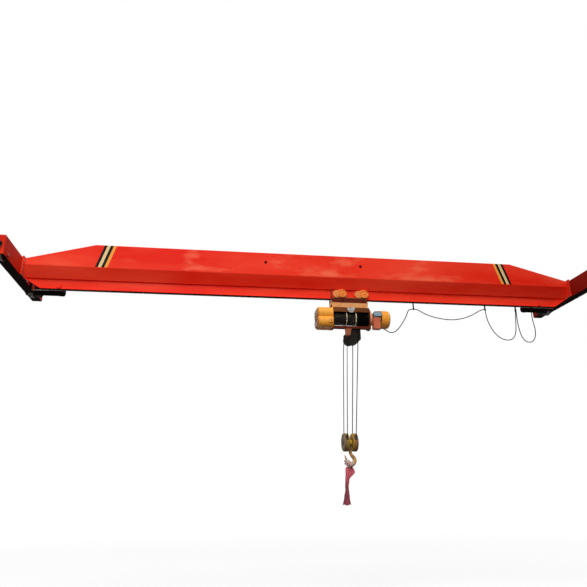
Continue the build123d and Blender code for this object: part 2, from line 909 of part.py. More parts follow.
def gear_lobes(up=1, grow=0):
    """Section of the gear housing: four overlapping rounds, lower at the bottom."""
    section = Sketch()
    for y in (-gear_lobe_y, gear_lobe_y):
        for z in (gear_lobe_up, -gear_lobe_down):
            section += Pos(y, up * z) * Circle(gear_lobe_radius + grow)
    return section + Rectangle(2 * gear_lobe_y, gear_lobe_up + gear_lobe_down)


def gear_housing():
    """Lobed casting with a chamfered end, a bearing cap on it and a boss in front."""
    x0 = mid_x + gear_left
    x1 = mid_x + frame_left
    chamfer_end = x0 + gear_chamfer
    place = Plane(origin=(chamfer_end, mid_y, hoist_z), x_dir=(0, 1, 0), z_dir=(1, 0, 0))
    body = extrude(place * gear_lobes(), amount=x1 - chamfer_end)
    outwards = Plane(origin=(chamfer_end, mid_y, hoist_z), x_dir=(0, 1, 0), z_dir=(-1, 0, 0))
    end = extrude(outwards * gear_lobes(up=-1), amount=gear_chamfer, taper=gear_taper)
    body += end
    rim = Plane(origin=(x1 - gear_rim, mid_y, hoist_z), x_dir=(0, 1, 0), z_dir=(1, 0, 0))
    body += extrude(rim * gear_lobes(grow=gear_rim_edge), amount=gear_rim)
    body += disc_x(gear_cap_radius, x0 - gear_cap, x0, mid_y, hoist_z)
    boss = turned_y([(0, 0), (0, gear_boss_radius), (-gear_boss_reach + gear_boss_edge, gear_boss_radius),
                     (-gear_boss_reach, gear_boss_radius - gear_boss_edge), (-gear_boss_reach, 0)],
                    mid_x + gear_boss_x, mid_y, gear_boss_z)
    boss &= block(x0, x1, mid_y - gear_boss_reach, mid_y - gear_lobe_y, gear_boss_z - gear_boss_radius,
                  gear_boss_z + gear_boss_radius)
    return body + boss


def hoist_motor():
    """Flanged motor: a neck beside the frame and a wider body with a flat end."""
    x0 = mid_x + frame_right + frame_plate
    neck = mid_x + hoist_motor_left - x0
    length = mid_x + motor_right - x0
    r = hoist_motor_radius
    profile = [
        (0, 0), (0, motor_flange_radius), (motor_flange, motor_flange_radius),
        (motor_flange, hoist_neck_radius), (neck, hoist_neck_radius), (neck, r),
        (length - hoist_motor_edge, r), (length, r - hoist_motor_edge), (length, 0),
    ]
    return turned_x(profile, x0, mid_y, hoist_z)


def control_box():
    """Switch box in front of the motor's neck, on a foot that fits the neck."""
    x0 = mid_x + control_left
    x1 = mid_x + control_right
    y1 = mid_y + control_back
    box = block(x0, x1, mid_y + control_front, y1, control_bottom, control_top)
    box = fillet(box.edges().filter_by(Axis.Y), control_corner)
    foot = block(x0 + control_foot_inset, x1 - control_foot_inset, y1,
                 mid_y - hoist_neck_radius + control_foot_inset, control_foot_bottom, control_foot_top)
    return box + (foot - disc_x(hoist_neck_radius + axle_gap, x0 - 1, x1 + 1, mid_y, hoist_z))


def junction_cover():
    """Rounded terminal cover that wraps round the motor, on a foot on top of the control box."""
    x0 = mid_x + cover_left
    x1 = mid_x + cover_right
    y0 = mid_y + cover_front
    y1 = mid_y + control_back
    cover = block(x0, x1, y0, y1, cover_bottom, cover_top)
    cover = fillet(cover.edges().filter_by(Axis.Y), cover_corner)
    cover -= disc_x(hoist_motor_radius + cover_gap, mid_x + hoist_motor_left - cover_gap, x1 + 1, mid_y,
                    hoist_z)
    foot_right = mid_x + control_right - cover_foot_inset
    return cover + block(x0 + cover_foot_inset, foot_right, y0 + cover_foot_inset, y1, control_top,
                         cover_bottom + cover_corner)


def rope_anchor():
    """Two plates and a pin that hold the rope's dead end, hung from the front tie bar."""
    x = mid_x + anchor_x
    y = mid_y - fall_y
    top = front_bar_z - front_bar_height / 2
    half = anchor_plate / 2
    reach = anchor_spread + half
    pin_z = anchor_z + anchor_pin_rise
    outline = [
        (mid_x + anchor_foot_left, anchor_z), (mid_x + anchor_foot_right, anchor_z),
        (mid_x + anchor_right, top), (mid_x + anchor_left, top),
    ]
    anchor = along_y(outline, y - reach, y - reach + anchor_plate)
    anchor += along_y(outline, y + reach - anchor_plate, y + reach)
    anchor += disc_y(anchor_pin_radius, y - reach - anchor_pin_reach, y + reach + anchor_pin_reach, x,
                     pin_z)
    anchor += block(mid_x + anchor_left, mid_x + anchor_right, y - reach, y + reach,
                    top - anchor_head, top)
    mouth = anchor_z - socket_depth
    socket = turned_z([(0, mouth), (socket_mouth_radius, mouth), (socket_radius, anchor_z),
                       (socket_radius, anchor_z + socket_height), (0, anchor_z + socket_height)],
                      x, y, 0)
    return anchor + socket


def upper_sheave_cheeks():
    """Hanger of the upper sheave: two large cheeks and a pin, under the back tie bar."""
    x = mid_x + upper_sheave_x
    y = mid_y + fall_y
    top = back_bar_z - back_bar_height / 2
    inner = sheave_width / 2 + cheek_gap
    outer = inner + cheek_plate
    outline = [(x + cheek_corners[-1][0], top), (x + cheek_corners[0][0], top)]
    outline += [(x + across_x, upper_sheave_z + rise) for across_x, rise in cheek_corners]
    body = disc_y(upper_pin_radius, y - outer - cheek_pin_reach, y + outer + cheek_pin_reach, x,
                  upper_sheave_z)
    body += along_y(outline, y - outer, y - inner)
    body += along_y(outline, y + inner, y + outer)
    return body + block(outline[0][0], outline[1][0], y - outer, y + outer, top - cheek_head, top)


def grooved_sheave(radius, hub_radius, hub_half, bore):
    """Section of a rope sheave as (distance along its axis, radius) points."""
    groove = radius - rope_radius - rope_groove_gap
    rim = radius + sheave_rim_depth - rope_radius
    half = sheave_width / 2
    shoulder = groove - half / 2
    web = sheave_web
    outer = [
        (hub_half, bore), (hub_half, hub_radius), (web, hub_radius + sheave_edge),
        (web, shoulder - half + web), (half, shoulder), (half, rim), (half - sheave_edge, rim),
        (sheave_groove, groove),
    ]
    return outer + [(-y, r) for y, r in reversed(outer)]


def upper_sheave():
    profile = grooved_sheave(upper_sheave_radius, 2 * upper_pin_radius, sheave_width / 2,
                             upper_pin_radius + axle_gap)
    return turned_y(profile, mid_x + upper_sheave_x, mid_y + fall_y, upper_sheave_z)


# Hook block
def block_sheave(side):
    profile = grooved_sheave(fall_y, sheave_hub_radius, sheave_hub_width / 2, pin_radius + axle_gap)
    return turned_x(profile, mid_x + block_x + side * block_half_spacing, mid_y, block_z)


def block_guard(side):
    """Rounded cover round one sheave, open where the two falls enter."""
    x = mid_x + block_x + side * block_half_spacing
    half = guard_half_width
    shell = disc_x(guard_radius, x - half, x + half, mid_y, block_z)
    shell = fillet(shell.edges(), guard_edge)
    half -= guard_wall
    inner = disc_x(guard_radius - guard_wall, x - half, x + half, mid_y, block_z)
    shell -= fillet(inner.edges(), guard_edge - guard_wall)
    for fall in (-1, 1):
        centre = mid_y + fall * fall_y
        shell -= block(x - guard_slot_half_width, x + guard_slot_half_width, centre - guard_slot_reach,
                       centre + guard_slot_reach, block_z + guard_slot_reach, block_z + guard_radius)
    return shell - disc_x(pin_radius + pin_fit, x - guard_radius, x + guard_radius, mid_y, block_z)


def block_yoke():
    """Forged crosshead between the guards: the sheave pins enter its sides, the hook its middle."""
    x = mid_x + block_x
    half = crosshead_half_width
    depth = crosshead_half_depth
    low = block_z + crosshead_bottom
    high = block_z + crosshead_top
    body = block(x - half, x + half, mid_y - depth, mid_y + depth, low, high)
    body = fillet(body.edges().filter_by(Axis.X), crosshead_edge)
    return body - rod((x, mid_y, low - 1), (x, mid_y, high + 1), hook_shank_radius + axle_gap)


def block_pin():
    """Two stub pins, one each side of the crosshead, with a head outside the guard."""
    reach = block_half_spacing + guard_half_width + hook_seat_gap
    profile = [
        (crosshead_half_width, 0), (crosshead_half_width, pin_radius), (reach, pin_radius),
        (reach, pin_head_radius), (reach + pin_head, pin_head_radius), (reach + pin_head, 0),
    ]
    x = mid_x + block_x
    return group(*[turned_x([(side * distance, r) for distance, r in profile], x, mid_y, block_z)
                   for side in (-1, 1)])


def hook_sections():
    """Stations along the hook: (x, z, direction angle from +X in degrees, half width, half depth)."""
    c = hook_centre_z
    r = hook_bowl_radius
    neck = [
        (0, hook_neck_z, -90, hook_shank_radius, hook_shank_radius),
        (0.06 * r, c + 1.6 * r, -80, 0.38 * r, 0.3 * r),
        (0.4 * r, c + 1.04 * r, -46, 0.44 * r, 0.32 * r),
    ]
    bowl = [(20, -70, 0.47, 0.34), (-20, -110, 0.5, 0.35), (-62, -152, 0.52, 0.36),
            (-105, -195, 0.51, 0.35), (-148, -238, 0.41, 0.31)]
    tip = [(-1.06, 0.1, -266, 0.28, 0.25), (-1.22, 0.68, -256, 0.17, 0.17),
           (-1.46, 1.22, -246, 0.08, 0.09)]
    stations = neck
    for place, angle, width, depth in bowl:
        turn = radians(place)
        stations.append((r * cos(turn), c + r * sin(turn), angle, width * r, depth * r))
    for offset, rise, angle, width, depth in tip:
        stations.append((offset * r, c + rise * r, angle, width * r, depth * r))
    return stations


def hook():
    """Forged hook whose shank passes through the crosshead to a nut on top."""
    x = mid_x + block_x
    faces = []
    for offset, z, angle, width, depth in hook_sections():
        heading = Vector(cos(radians(angle)), 0, sin(radians(angle)))
        plane = Plane(origin=(x + offset, mid_y, z), x_dir=(0, 1, 0), z_dir=heading)
        faces.append(plane * Ellipse(depth, width))
    nut_low = block_z + crosshead_top + hook_seat_gap
    nut_high = nut_low + hook_nut
    shank = rod((x, mid_y, hook_neck_z), (x, mid_y, nut_high), hook_shank_radius)
    nut_face = Plane(origin=(x, mid_y, nut_low)) * RegularPolygon(hook_nut_radius, 6)
    return loft(faces) + shank + extrude(nut_face, amount=hook_nut)


def hook_ribbon():
    """Cloth strip that hangs from the hook, as one closed solid."""
    stations = [
        (0, 700, 800, 20), (-30, 678, 880, 26), (-110, 676, 912, 26), (-300, 664, 765, 28),
        (-500, 650, 735, 26), (-700, 612, 748, 26), (ribbon_bottom - ribbon_top, 577, 776, 26),
    ]
    faces = [Pos(mid_x + (left + right) / 2, mid_y, ribbon_top + drop)
             * RectangleRounded(right - left, 2 * depth, ribbon_edge * depth)
             for drop, left, right, depth in stations]
    return loft(faces, ruled=True)


# Rope
def fall_points():
    """Top and bottom of each of the four falls."""
    left = mid_x + block_x - block_half_spacing
    right = mid_x + block_x + block_half_spacing
    near = mid_y - fall_y
    far = mid_y + fall_y
    sheave = mid_x + upper_sheave_x
    low = block_z + rope_end_gap
    high = upper_sheave_z - rope_end_gap
    return [
        ((mid_x + anchor_x, near, anchor_z - socket_depth - rope_end_gap), (left, near, low)),
        ((sheave - upper_sheave_radius, far, high), (left, far, low)),
        ((sheave + upper_sheave_radius, far, high), (right, far, low)),
        ((mid_x + drum_fall_x, near, hoist_z), (right, near, low)),
    ]


def half_turn_x(x, z):
    """Rope round the lower half of a block sheave."""
    ring = Torus(fall_y, rope_radius)
    turn = Pos(x, mid_y, z) * (Rot(0, 90, 0) * ring)
    reach = fall_y + 2 * rope_radius
    return turn & block(x - reach, x + reach, mid_y - reach, mid_y + reach, z - reach, z)


def block_rope():
    left = mid_x + block_x - block_half_spacing
    right = mid_x + block_x + block_half_spacing
    return group(half_turn_x(left, block_z), half_turn_x(right, block_z))


def rope_falls():
    """The four falls, and the rope that joins two of them over the upper sheave."""
    x = mid_x + upper_sheave_x
    ring = Torus(upper_sheave_radius, rope_radius)
    turn = Pos(x, mid_y + fall_y, upper_sheave_z) * (Rot(90, 0, 0) * ring)
    reach = upper_sheave_radius + 2 * rope_radius
    turn &= block(x - reach, x + reach, mid_y, mid_y + 2 * fall_y, upper_sheave_z,
                  upper_sheave_z + reach)
    return group(turn, *[rod(top, low, rope_radius) for top, low in fall_points()])


# Festoon cable
def carrier(n):
    """Hanger that rolls on the wire and holds the cable in a saddle."""
    x = mid_x + carrier_offsets[n]
    y = mid_y + wire_y
    z = carrier_saddle_z[n]
    roller = turned_y([(-10, 0), (-10, 20), (-4, 15.7), (4, 15.7), (10, 20), (10, 0)],
                      x, y, wire_z + wire_radius + 16)
    body = roller
    for side in (-1, 1):
        y0 = y + side * (carrier_half_depth - 3) - 3
        body += block(x - 14, x + 14, y0, y0 + 6, z, wire_z + wire_radius + 34)
    pin = disc_y(6, y - carrier_half_depth, y + carrier_half_depth, x, wire_z + wire_radius + 16)
    body += pin
    saddle = block(x - carrier_half_width, x + carrier_half_width, y - carrier_half_depth,
                   y + carrier_half_depth, z - saddle_half_height, z + saddle_half_height)
    return body + fillet(saddle.edges().filter_by(Axis.Z), 6)


def cable_tube(points):
    """Tube along straight runs joined by arcs as large as the runs allow."""
    corners = [Vector(*p) for p in points]
    radii = []
    for before, here, after in zip(corners, corners[1:], corners[2:]):
        turn = (here - before).get_angle(after - here)
        shorter = min((here - before).length, (after - here).length)
        radii.append(0.45 * shorter / tan(radians(turn) / 2))
    path = FilletPolyline(*corners, radius=radii)
    start = Plane(origin=corners[0], z_dir=(corners[1] - corners[0]).normalized())
    tube = sweep(start * Circle(cable_radius), path=path)
    print("cable", round(path.length), "mm, smallest arc", round(min(radii)), "mm, volume ratio",
          round(tube.volume / (pi * cable_radius**2 * path.length), 4))
    return tube


def along(start, end, shares):
    """Points between two ends: share of the way in X, share of the way in Y, height."""
    return [(start[0] + share_x * (end[0] - start[0]), start[1] + share_y * (end[1] - start[1]), z)
            for share_x, share_y, z in shares]


def from_end(place, offsets):
    return [(place[0] + x, place[1] + y, place[2] + z) for x, y, z in offsets]


def cable_routes():
    """Chosen points of each cable span: distance from mid-span, from the girder's middle, height."""
    h1, h2, h3 = carrier_offsets
    z1, z2, z3 = carrier_saddle_z
    side = carrier_half_width + cable_end_gap
    low = saddle_half_height + cable_end_gap
    y = wire_y
    exit_place = (control_right + cable_end_gap, cable_exit_y, cable_exit_z)
    lead_end = (h1 - side, y, z1)
    first = (h1 + side, y, z1)
    first_end = (h2 - side, y, z2)
    second = (h2 + 4, y, z2 - low)
    second_end = (h3 - 13, y, z3 - low)
    third = (h3 + 13, y, z3 - low)
    third_end = (clamp_offset, y, wire_z - 40 - cable_end_gap)
    routes = {
        "festoon_lead":
            from_end(exit_place, [(0, 0, 0), (50, 0, 0), (112, 6, -18), (180, 28, -50)])
            + along(exit_place, lead_end, [
                (0.2, 0.1, -1122), (0.3, 0.2, -1110), (0.41, 0.33, -1030), (0.53, 0.49, -890),
                (0.66, 0.66, -690), (0.785, 0.82, -475)])
            + from_end(lead_end, [(-187, -64, -123), (-153, -42, -67), (-112, -20, -28),
                                  (-69, -6, -8), (-25, 0, 0), (0, 0, 0)]),
        "festoon_span_1":
            from_end(first, [(0, 0, 0), (25, 0, 0), (69, 0, -8), (120, 0, -28), (180, 0, -65)])
            + along(first, first_end, [
                (0.16, 1, -345), (0.27, 1, -420), (0.39, 1, -465), (0.52, 1, -482),
                (0.65, 1, -440), (0.76, 1, -365), (0.85, 1, -275)])
            + from_end(first_end, [(-197, 0, -65), (-126, 0, -28), (-69, 0, -8), (-25, 0, 0),
                                   (0, 0, 0)]),
        "festoon_span_2":
            [second, (h2 + 4, y, -240)]
            + along(second, second_end, [
                (0.02, 1, -420), (0.08, 1, -610), (0.19, 1, -805), (0.33, 1, -950),
                (0.49, 1, -1025), (0.67, 1, -1033), (0.82, 1, -965), (0.91, 1, -810),
                (0.95, 1, -590), (0.975, 1, -360)])
            + [(h3 - 13, y, -230), second_end],
        "festoon_span_3":
            [third, (h3 + 13, y, -230)]
            + along(third, third_end, [
                (-0.02, 1, -420), (0.01, 1, -660), (0.08, 1, -880), (0.24, 1, -1025),
                (0.51, 1, -1088), (0.81, 1, -1045), (1, 1, -900), (1.06, 1, -680),
                (1, 1, -480), (0.97, 1, -330), (1, 1, -190)])
            + [third_end],
    }
    return {
        name: [(mid_x + x, mid_y + dy, z) for x, dy, z in points]
        for name, points in routes.items()
    }


def cable_clamp():
    """Fixed clamp at the end of the wire, where the cable goes to the bridge."""
    x = mid_x + clamp_offset
    y = mid_y + wire_y
    grip = block(x - 22, x + 22, y - 17, y + 17, wire_z - 40, wire_z + 20)
    return grip - disc_x(wire_radius, x - 30, x + 30, y, wire_z)


pieces = {
    "girder_channel": girder_channel(),
    "girder_webs": group(inclined_web(), across(inclined_web())),
    "running_beam": running_beam(),
    "beam_end_plates": beam_end_plates(),
    "girder_flanges": both_ends(girder_flange()),
    "trolley_stops": both_ends(trolley_stop(), across(trolley_stop())),
    "end_carriage_left": end_carriage(),
    "end_carriage_right": mirrored(end_carriage()),
    "wheel_cartridges": both_ends(cartridge(0, -1), cartridge(0, 1), cartridge(wheel_base, -1)),
    "travel_reducers": both_ends(reducer()),
    "travel_motors": both_ends(travel_motor()),
    "buffer_seats": both_ends(buffer_seats()),
    "buffers": both_ends(buffer_pair()),
    "wire_brackets": group(wire_arm(), mirrored(wire_arm()), cable_clamp()),
    "festoon_wire": festoon_wire(),
    "trolley_sides": trolley_sides(),
    "trolley_pins": trolley_pins(),
    "trolley_tie_rods": tie_rods(),
    "trolley_beam": box_beam(),
    "trolley_drive": trolley_drive(),
    "hoist_end_plates": group(hoist_end_plate(mid_x + frame_left),
                              hoist_end_plate(mid_x + frame_right)),
    "hoist_saddle": hoist_saddle(),
    "hoist_tie_bars": group(tie_bar(-1), tie_bar(1)),
    "suspension_lug": suspension_lug(),
    "rope_drum": rope_drum(),
    "rope_guide": rope_guide(),
    "gear_housing": gear_housing(),
    "hoist_motor": hoist_motor(),
    "control_box": control_box(),
    "junction_cover": junction_cover(),
    "rope_anchor": rope_anchor(),
    "upper_sheave_cheeks": upper_sheave_cheeks(),
    "upper_sheave": upper_sheave(),
    "block_guards": group(block_guard(-1), block_guard(1)),
    "block_yoke": block_yoke(),
    "block_pin": block_pin(),
    "hook": hook(),
    "hook_ribbon": hook_ribbon(),
    "block_rope": block_rope(),
    "rope_falls": rope_falls(),
}
for place, y in (("front", 0), ("back", wheel_base)):
    pieces[f"travel_wheel_left_{place}"] = travel_wheel(y)
    pieces[f"travel_wheel_right_{place}"] = mirrored(travel_wheel(y))
for place, side in (("left", -1), ("right", 1)):
    x = mid_x + trolley_offset + side * trolley_half_base
    pieces[f"trolley_wheels_{place}"] = group(trolley_wheel(x, -1), trolley_wheel(x, 1))
    pieces[f"block_sheave_{place}"] = block_sheave(side)
for n in range(len(carrier_offsets)):
    pieces[f"festoon_carrier_{n + 1}"] = carrier(n)
for name, points in cable_routes().items():
    pieces[name] = cable_tube(points)

os.makedirs("parts", exist_ok=True)
for name, shape in pieces.items():
    export_step(shape, f"parts/{name}.step")
print(len(pieces), "pieces")
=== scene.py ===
import math

import bmesh
import bpy
from mathutils import Matrix, Vector


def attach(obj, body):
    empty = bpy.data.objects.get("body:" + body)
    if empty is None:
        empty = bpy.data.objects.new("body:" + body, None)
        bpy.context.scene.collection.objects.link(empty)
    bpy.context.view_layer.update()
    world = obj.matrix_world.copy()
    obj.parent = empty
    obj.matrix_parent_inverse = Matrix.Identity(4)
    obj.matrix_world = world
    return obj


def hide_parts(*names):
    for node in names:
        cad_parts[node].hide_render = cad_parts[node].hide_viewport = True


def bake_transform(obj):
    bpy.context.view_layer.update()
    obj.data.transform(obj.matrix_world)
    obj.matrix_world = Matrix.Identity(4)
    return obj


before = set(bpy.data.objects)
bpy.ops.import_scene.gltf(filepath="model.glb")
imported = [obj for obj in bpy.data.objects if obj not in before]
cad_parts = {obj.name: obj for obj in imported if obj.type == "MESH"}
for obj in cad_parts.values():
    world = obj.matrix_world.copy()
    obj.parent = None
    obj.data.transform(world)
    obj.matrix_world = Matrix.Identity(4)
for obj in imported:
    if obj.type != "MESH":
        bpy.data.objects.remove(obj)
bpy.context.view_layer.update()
print("frame loaded:", len(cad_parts), "nodes")

# Places that many pieces share, in metres
midX = 7.5
midY = 1.25
blockX = midX + 0.815


# Small helpers
def at(x, y, z):
    # a place measured from mid-span and from the girder's middle plane
    return (midX + x, midY + y, z)


def newObject(name, data):
    made = bpy.data.objects.new(name, data)
    bpy.context.scene.collection.objects.link(made)
    return made


def colour(code):
    # sRGB hex to the linear colour that Blender's sockets take
    parts = [int(code[i:i + 2], 16) / 255 for i in (1, 3, 5)]
    return [p / 12.92 if p <= 0.04045 else ((p + 0.055) / 1.055) ** 2.4 for p in parts] + [1.0]


def feed(tree, node, inputs):
    # gives a node's inputs their values, or links them to what other nodes put out
    for key, value in inputs.items():
        if isinstance(value, bpy.types.NodeSocket):
            tree.links.new(value, node.inputs[key])
        else:
            node.inputs[key].default_value = value


def addNode(tree, kind, inputs, out=0, **settings):
    # a shader node with its settings, values and links, known by one of its outputs
    made = tree.nodes.new("ShaderNode" + kind)
    for key, value in settings.items():
        setattr(made, key, value)
    feed(tree, made, inputs)
    return made.outputs[out]


# Materials
def newMaterial(name):
    # a node material, its tree and its Object coordinates
    material = bpy.data.materials.new(name)
    material.use_nodes = True
    tree = material.node_tree
    return material, tree, addNode(tree, "TexCoord", {}, "Object")


def patches(tree, place, sizeMm, low=0.0, high=1.0, start=0.0, end=1.0, detail=4.0, stretch=(1, 1, 1)):
    # patches about sizeMm across, longer where stretch is above 1: they go from start to end while
    # the noise under them goes from low to high
    scaled = addNode(tree, "Mapping", {"Vector": place, "Scale": [1 / s for s in stretch]})
    noise = addNode(tree, "TexNoise", {"Vector": scaled, "Scale": 1000 / sizeMm, "Detail": detail,
                                       "Roughness": 0.55})
    return addNode(tree, "MapRange", {"Value": noise, "From Min": low, "From Max": high,
                                      "To Min": start, "To Max": end})


def beyond(tree, place, axis, start, end):
    # 0 before start and 1 past end, along one axis of the model
    value = addNode(tree, "SeparateXYZ", {0: place}, axis)
    return addNode(tree, "MapRange", {"Value": value, "From Min": start, "From Max": end})


def facingDown(tree):
    # 1 on faces that look down, where the materials paint shade
    return beyond(tree, addNode(tree, "NewGeometry", {}, "True Normal"), 2, -0.55, -0.85)


def overlap(tree, *masks):
    # 1 only where all the masks are 1; a number among them makes it weaker
    found = masks[0]
    for mask in masks[1:]:
        found = addNode(tree, "Math", {0: found, 1: mask}, operation="MULTIPLY")
    return found


def sharpEdgePatches(tree, place, radiusMm, sizeMm, low, high):
    # 1 in scattered patches along sharp edges, 0 on flat faces
    bevelled = addNode(tree, "Bevel", {"Radius": radiusMm / 1000}, samples=4)
    plain = addNode(tree, "NewGeometry", {}, "Normal")
    alike = addNode(tree, "VectorMath", {0: bevelled, 1: plain}, "Value", operation="DOT_PRODUCT")
    sharp = addNode(tree, "MapRange", {"Value": alike, "From Min": 0.80, "From Max": 0.985,
                                       "To Min": 1.0, "To Max": 0.0})
    return overlap(tree, sharp, patches(tree, place, sizeMm, low, high, detail=6))


def coated(tree, main, coats):
    # the colour of a surface whose coats lie one over another, each where its mask is 1
    found = colour(main)
    for mask, code in coats:
        found = addNode(tree, "Mix", {0: mask, 6: found, 7: colour(code)}, 2, data_type="RGBA")
    return found


def finishSurface(material, bumps, inputs):
    # feeds the shader, and lays bumps of (height, strength, depth) one on another
    tree = material.node_tree
    below = {}
    for height, strength, depth in bumps:
        raised = addNode(tree, "Bump", {"Height": height, "Strength": strength, "Distance": depth, **below})
        below = {"Normal": raised}
    feed(tree, tree.nodes["Principled BSDF"], {**inputs, **below})
    return material


def paintedSteel(name, main, shade, fadeAndHighlight, edgeWearAndHighlight, rough=0.42, edgeMm=5.0, grime=0.35, gloss=0.22,
                 underShade=None, areas=()):
    # Enamel sprayed on steel plate: broad darker and faded patches, run-down dirt, chipped edges and
    # the orange peel of sprayed paint. Where a coat's faded patches and edges are pale, they are partly
    # painted highlight. Areas are (axis, start, end, colour) where the coat differs, some of them painted
    # shade. The colour for faces that look down, where given, is painted shade.
    material, tree, place = newMaterial(name)
    # faded patches, partly painted highlight where their colour is pale
    coats = [(patches(tree, place, 900, 0.35, 0.68, stretch=(1.6, 1.0, 0.7)), fadeAndHighlight)]
    coats += [(beyond(tree, place, axis, start, end), other) for axis, start, end, other in areas]
    # the edge colour: chipping, partly painted highlight where it is pale
    coats += [(patches(tree, place, 90, 0.48, 0.80, 0.0, grime, stretch=(0.8, 0.8, 3.0)), shade),
              (sharpEdgePatches(tree, place, edgeMm, 22, 0.42, 0.62), edgeWearAndHighlight)]
    matt = patches(tree, place, 22, 0.2, 0.8, rough - 0.06, rough + 0.10, detail=6)
    # painted shade on the faces that look down, in the colour given for them
    if underShade:
        coats += [(facingDown(tree), underShade)]
        matt = addNode(tree, "Math", {0: matt, 1: facingDown(tree)}, operation="MAXIMUM")
    return finishSurface(material, [(patches(tree, place, 14, detail=2), 0.18, 0.002)], {
        "Base Color": coated(tree, main, coats), "Roughness": matt, "Specular IOR Level": gloss})


# girder colours: pale is partly faded coat, partly painted highlight; underside is painted shade
girderLook = {
    "deep": "#E81E08", "warm": "#F6422A", "pale": "#FF7A58", "scuff": "#8A3020", "undersideShade": "#1A0806",
    "foldZ": 0.348, "paleUpTo": (3.2, 5.0), "gloss": 0.06,
    "stripes": ((0.0, "#0A0504"), (0.070, "#E6C68C"), (0.150, "#0A0504"), (0.225, "#F2A040")),
    "stripesFrom": 5.635, "stripesWide": 0.300, "slant": 0.3078,
}


def girderEnamel():
    # Red alkyd enamel sprayed on folded plate: cloudy paler patches, partly faded coat and partly painted
    # highlight, shallow dents that catch the light, painted shade on the lower faces that look down, and
    # hand-painted slanted stripes near both ends.
    look = girderLook
    fold = look["foldZ"]
    material, tree, place = newMaterial("girderRedEnamel")
    x, z = (addNode(tree, "SeparateXYZ", {0: place}, axis) for axis in (0, 2))
    fromMiddle = addNode(tree, "Math", {0: x, 1: midX}, operation="SUBTRACT")
    away = addNode(tree, "Math", {0: fromMiddle}, operation="ABSOLUTE")
    # pale patches on the upright sides, fewer at the ends: partly faded coat, partly painted highlight
    nearMiddle = addNode(tree, "MapRange", {
        "Value": away, "From Min": look["paleUpTo"][0], "From Max": look["paleUpTo"][1],
        "To Min": 1.0, "To Max": 0.3})
    fadeAndHighlightPatches = overlap(tree, patches(tree, place, 620, 0.50, 0.72, 0.0, 0.9, stretch=(2.0, 1.0, 0.8)),
                     beyond(tree, place, 2, fold - 0.02, fold + 0.05), nearMiddle)
    # painted shade, nearly black, on the lower faces that look down
    underShade = overlap(tree, facingDown(tree), beyond(tree, place, 2, 0.0, -0.02))
    coats = [(patches(tree, place, 1500, 0.35, 0.66, stretch=(2.0, 1.0, 0.5)), look["warm"]),
             (fadeAndHighlightPatches, look["pale"]), (sharpEdgePatches(tree, place, 5.0, 25, 0.45, 0.65), look["scuff"]),
             (underShade, look["undersideShade"])]
    # stripes: how far inwards from their outer edge, slanted with height, on the upright sides only
    aboveFold = addNode(tree, "Math", {0: z, 1: fold}, operation="SUBTRACT")
    slanted = addNode(tree, "Math", {0: aboveFold, 1: look["slant"], 2: away}, operation="MULTIPLY_ADD")
    inwards = addNode(tree, "Math", {0: look["stripesFrom"], 1: slanted}, operation="SUBTRACT")
    sideways = addNode(tree, "SeparateXYZ", {0: addNode(tree, "NewGeometry", {}, "True Normal")}, 1)
    sheer = addNode(tree, "Math", {0: sideways}, operation="ABSOLUTE")
    upright = overlap(tree, addNode(tree, "Math", {0: sheer, 1: 0.75}, operation="GREATER_THAN"),
                      addNode(tree, "Math", {0: z, 1: fold + 0.012}, operation="GREATER_THAN"),
                      addNode(tree, "Math", {0: inwards, 1: look["stripesWide"]}, operation="LESS_THAN"))
    for start, code in look["stripes"]:
        past = addNode(tree, "Math", {0: inwards, 1: start}, operation="GREATER_THAN")
        coats += [(overlap(tree, upright, past), code)]
    matt = addNode(tree, "Math", {0: patches(tree, place, 25, 0.2, 0.8, 0.38, 0.54, detail=6), 1: underShade},
                   operation="MAXIMUM")
    peel = (patches(tree, place, 16, detail=2), 0.2, 0.002)
    dents = (patches(tree, place, 1300, detail=1, stretch=(1.2, 1, 0.6)), 0.35, 0.03)
    return finishSurface(material, [peel, dents], {
        "Base Color": coated(tree, look["deep"], coats), "Roughness": matt,
        "Specular IOR Level": look["gloss"]})


def bareSteel(name, light, dark, rough=0.35, metallic=0.9, gloss=0.5, paintedGlint=None):
    # Turned, ground or forged steel: bright where it is rubbed, dull with grease in its low places.
    material, tree, place = newMaterial(name)
    coats = [(patches(tree, place, 60, 0.35, 0.65, detail=6), dark)]
    # where a glint colour is given: small bright specks that are painted highlights
    if paintedGlint:
        coats += [(patches(tree, place, 28, 0.66, 0.72, detail=2, stretch=(0.7, 1.0, 1.6)), paintedGlint)]
    matt = patches(tree, place, 60, 0.3, 0.7, rough - 0.08, rough + 0.15, detail=6)
    return finishSurface(material, [(patches(tree, place, 6, detail=3), 0.25, 0.001)], {
        "Base Color": coated(tree, light, coats), "Roughness": matt, "Metallic": metallic,
        "Specular IOR Level": gloss})


def darkRubber(name, main, dust, rough=0.7):
    # Moulded rubber or extruded cable sheath: matt black that a film of dust turns grey in patches.
    material, tree, place = newMaterial(name)
    dusty = (patches(tree, place, 80, 0.45, 0.75, detail=5), dust)
    return finishSurface(material, [(patches(tree, place, 5, detail=3), 0.2, 0.001)], {
        "Base Color": coated(tree, main, [dusty]), "Roughness": rough, "Specular IOR Level": 0.05})


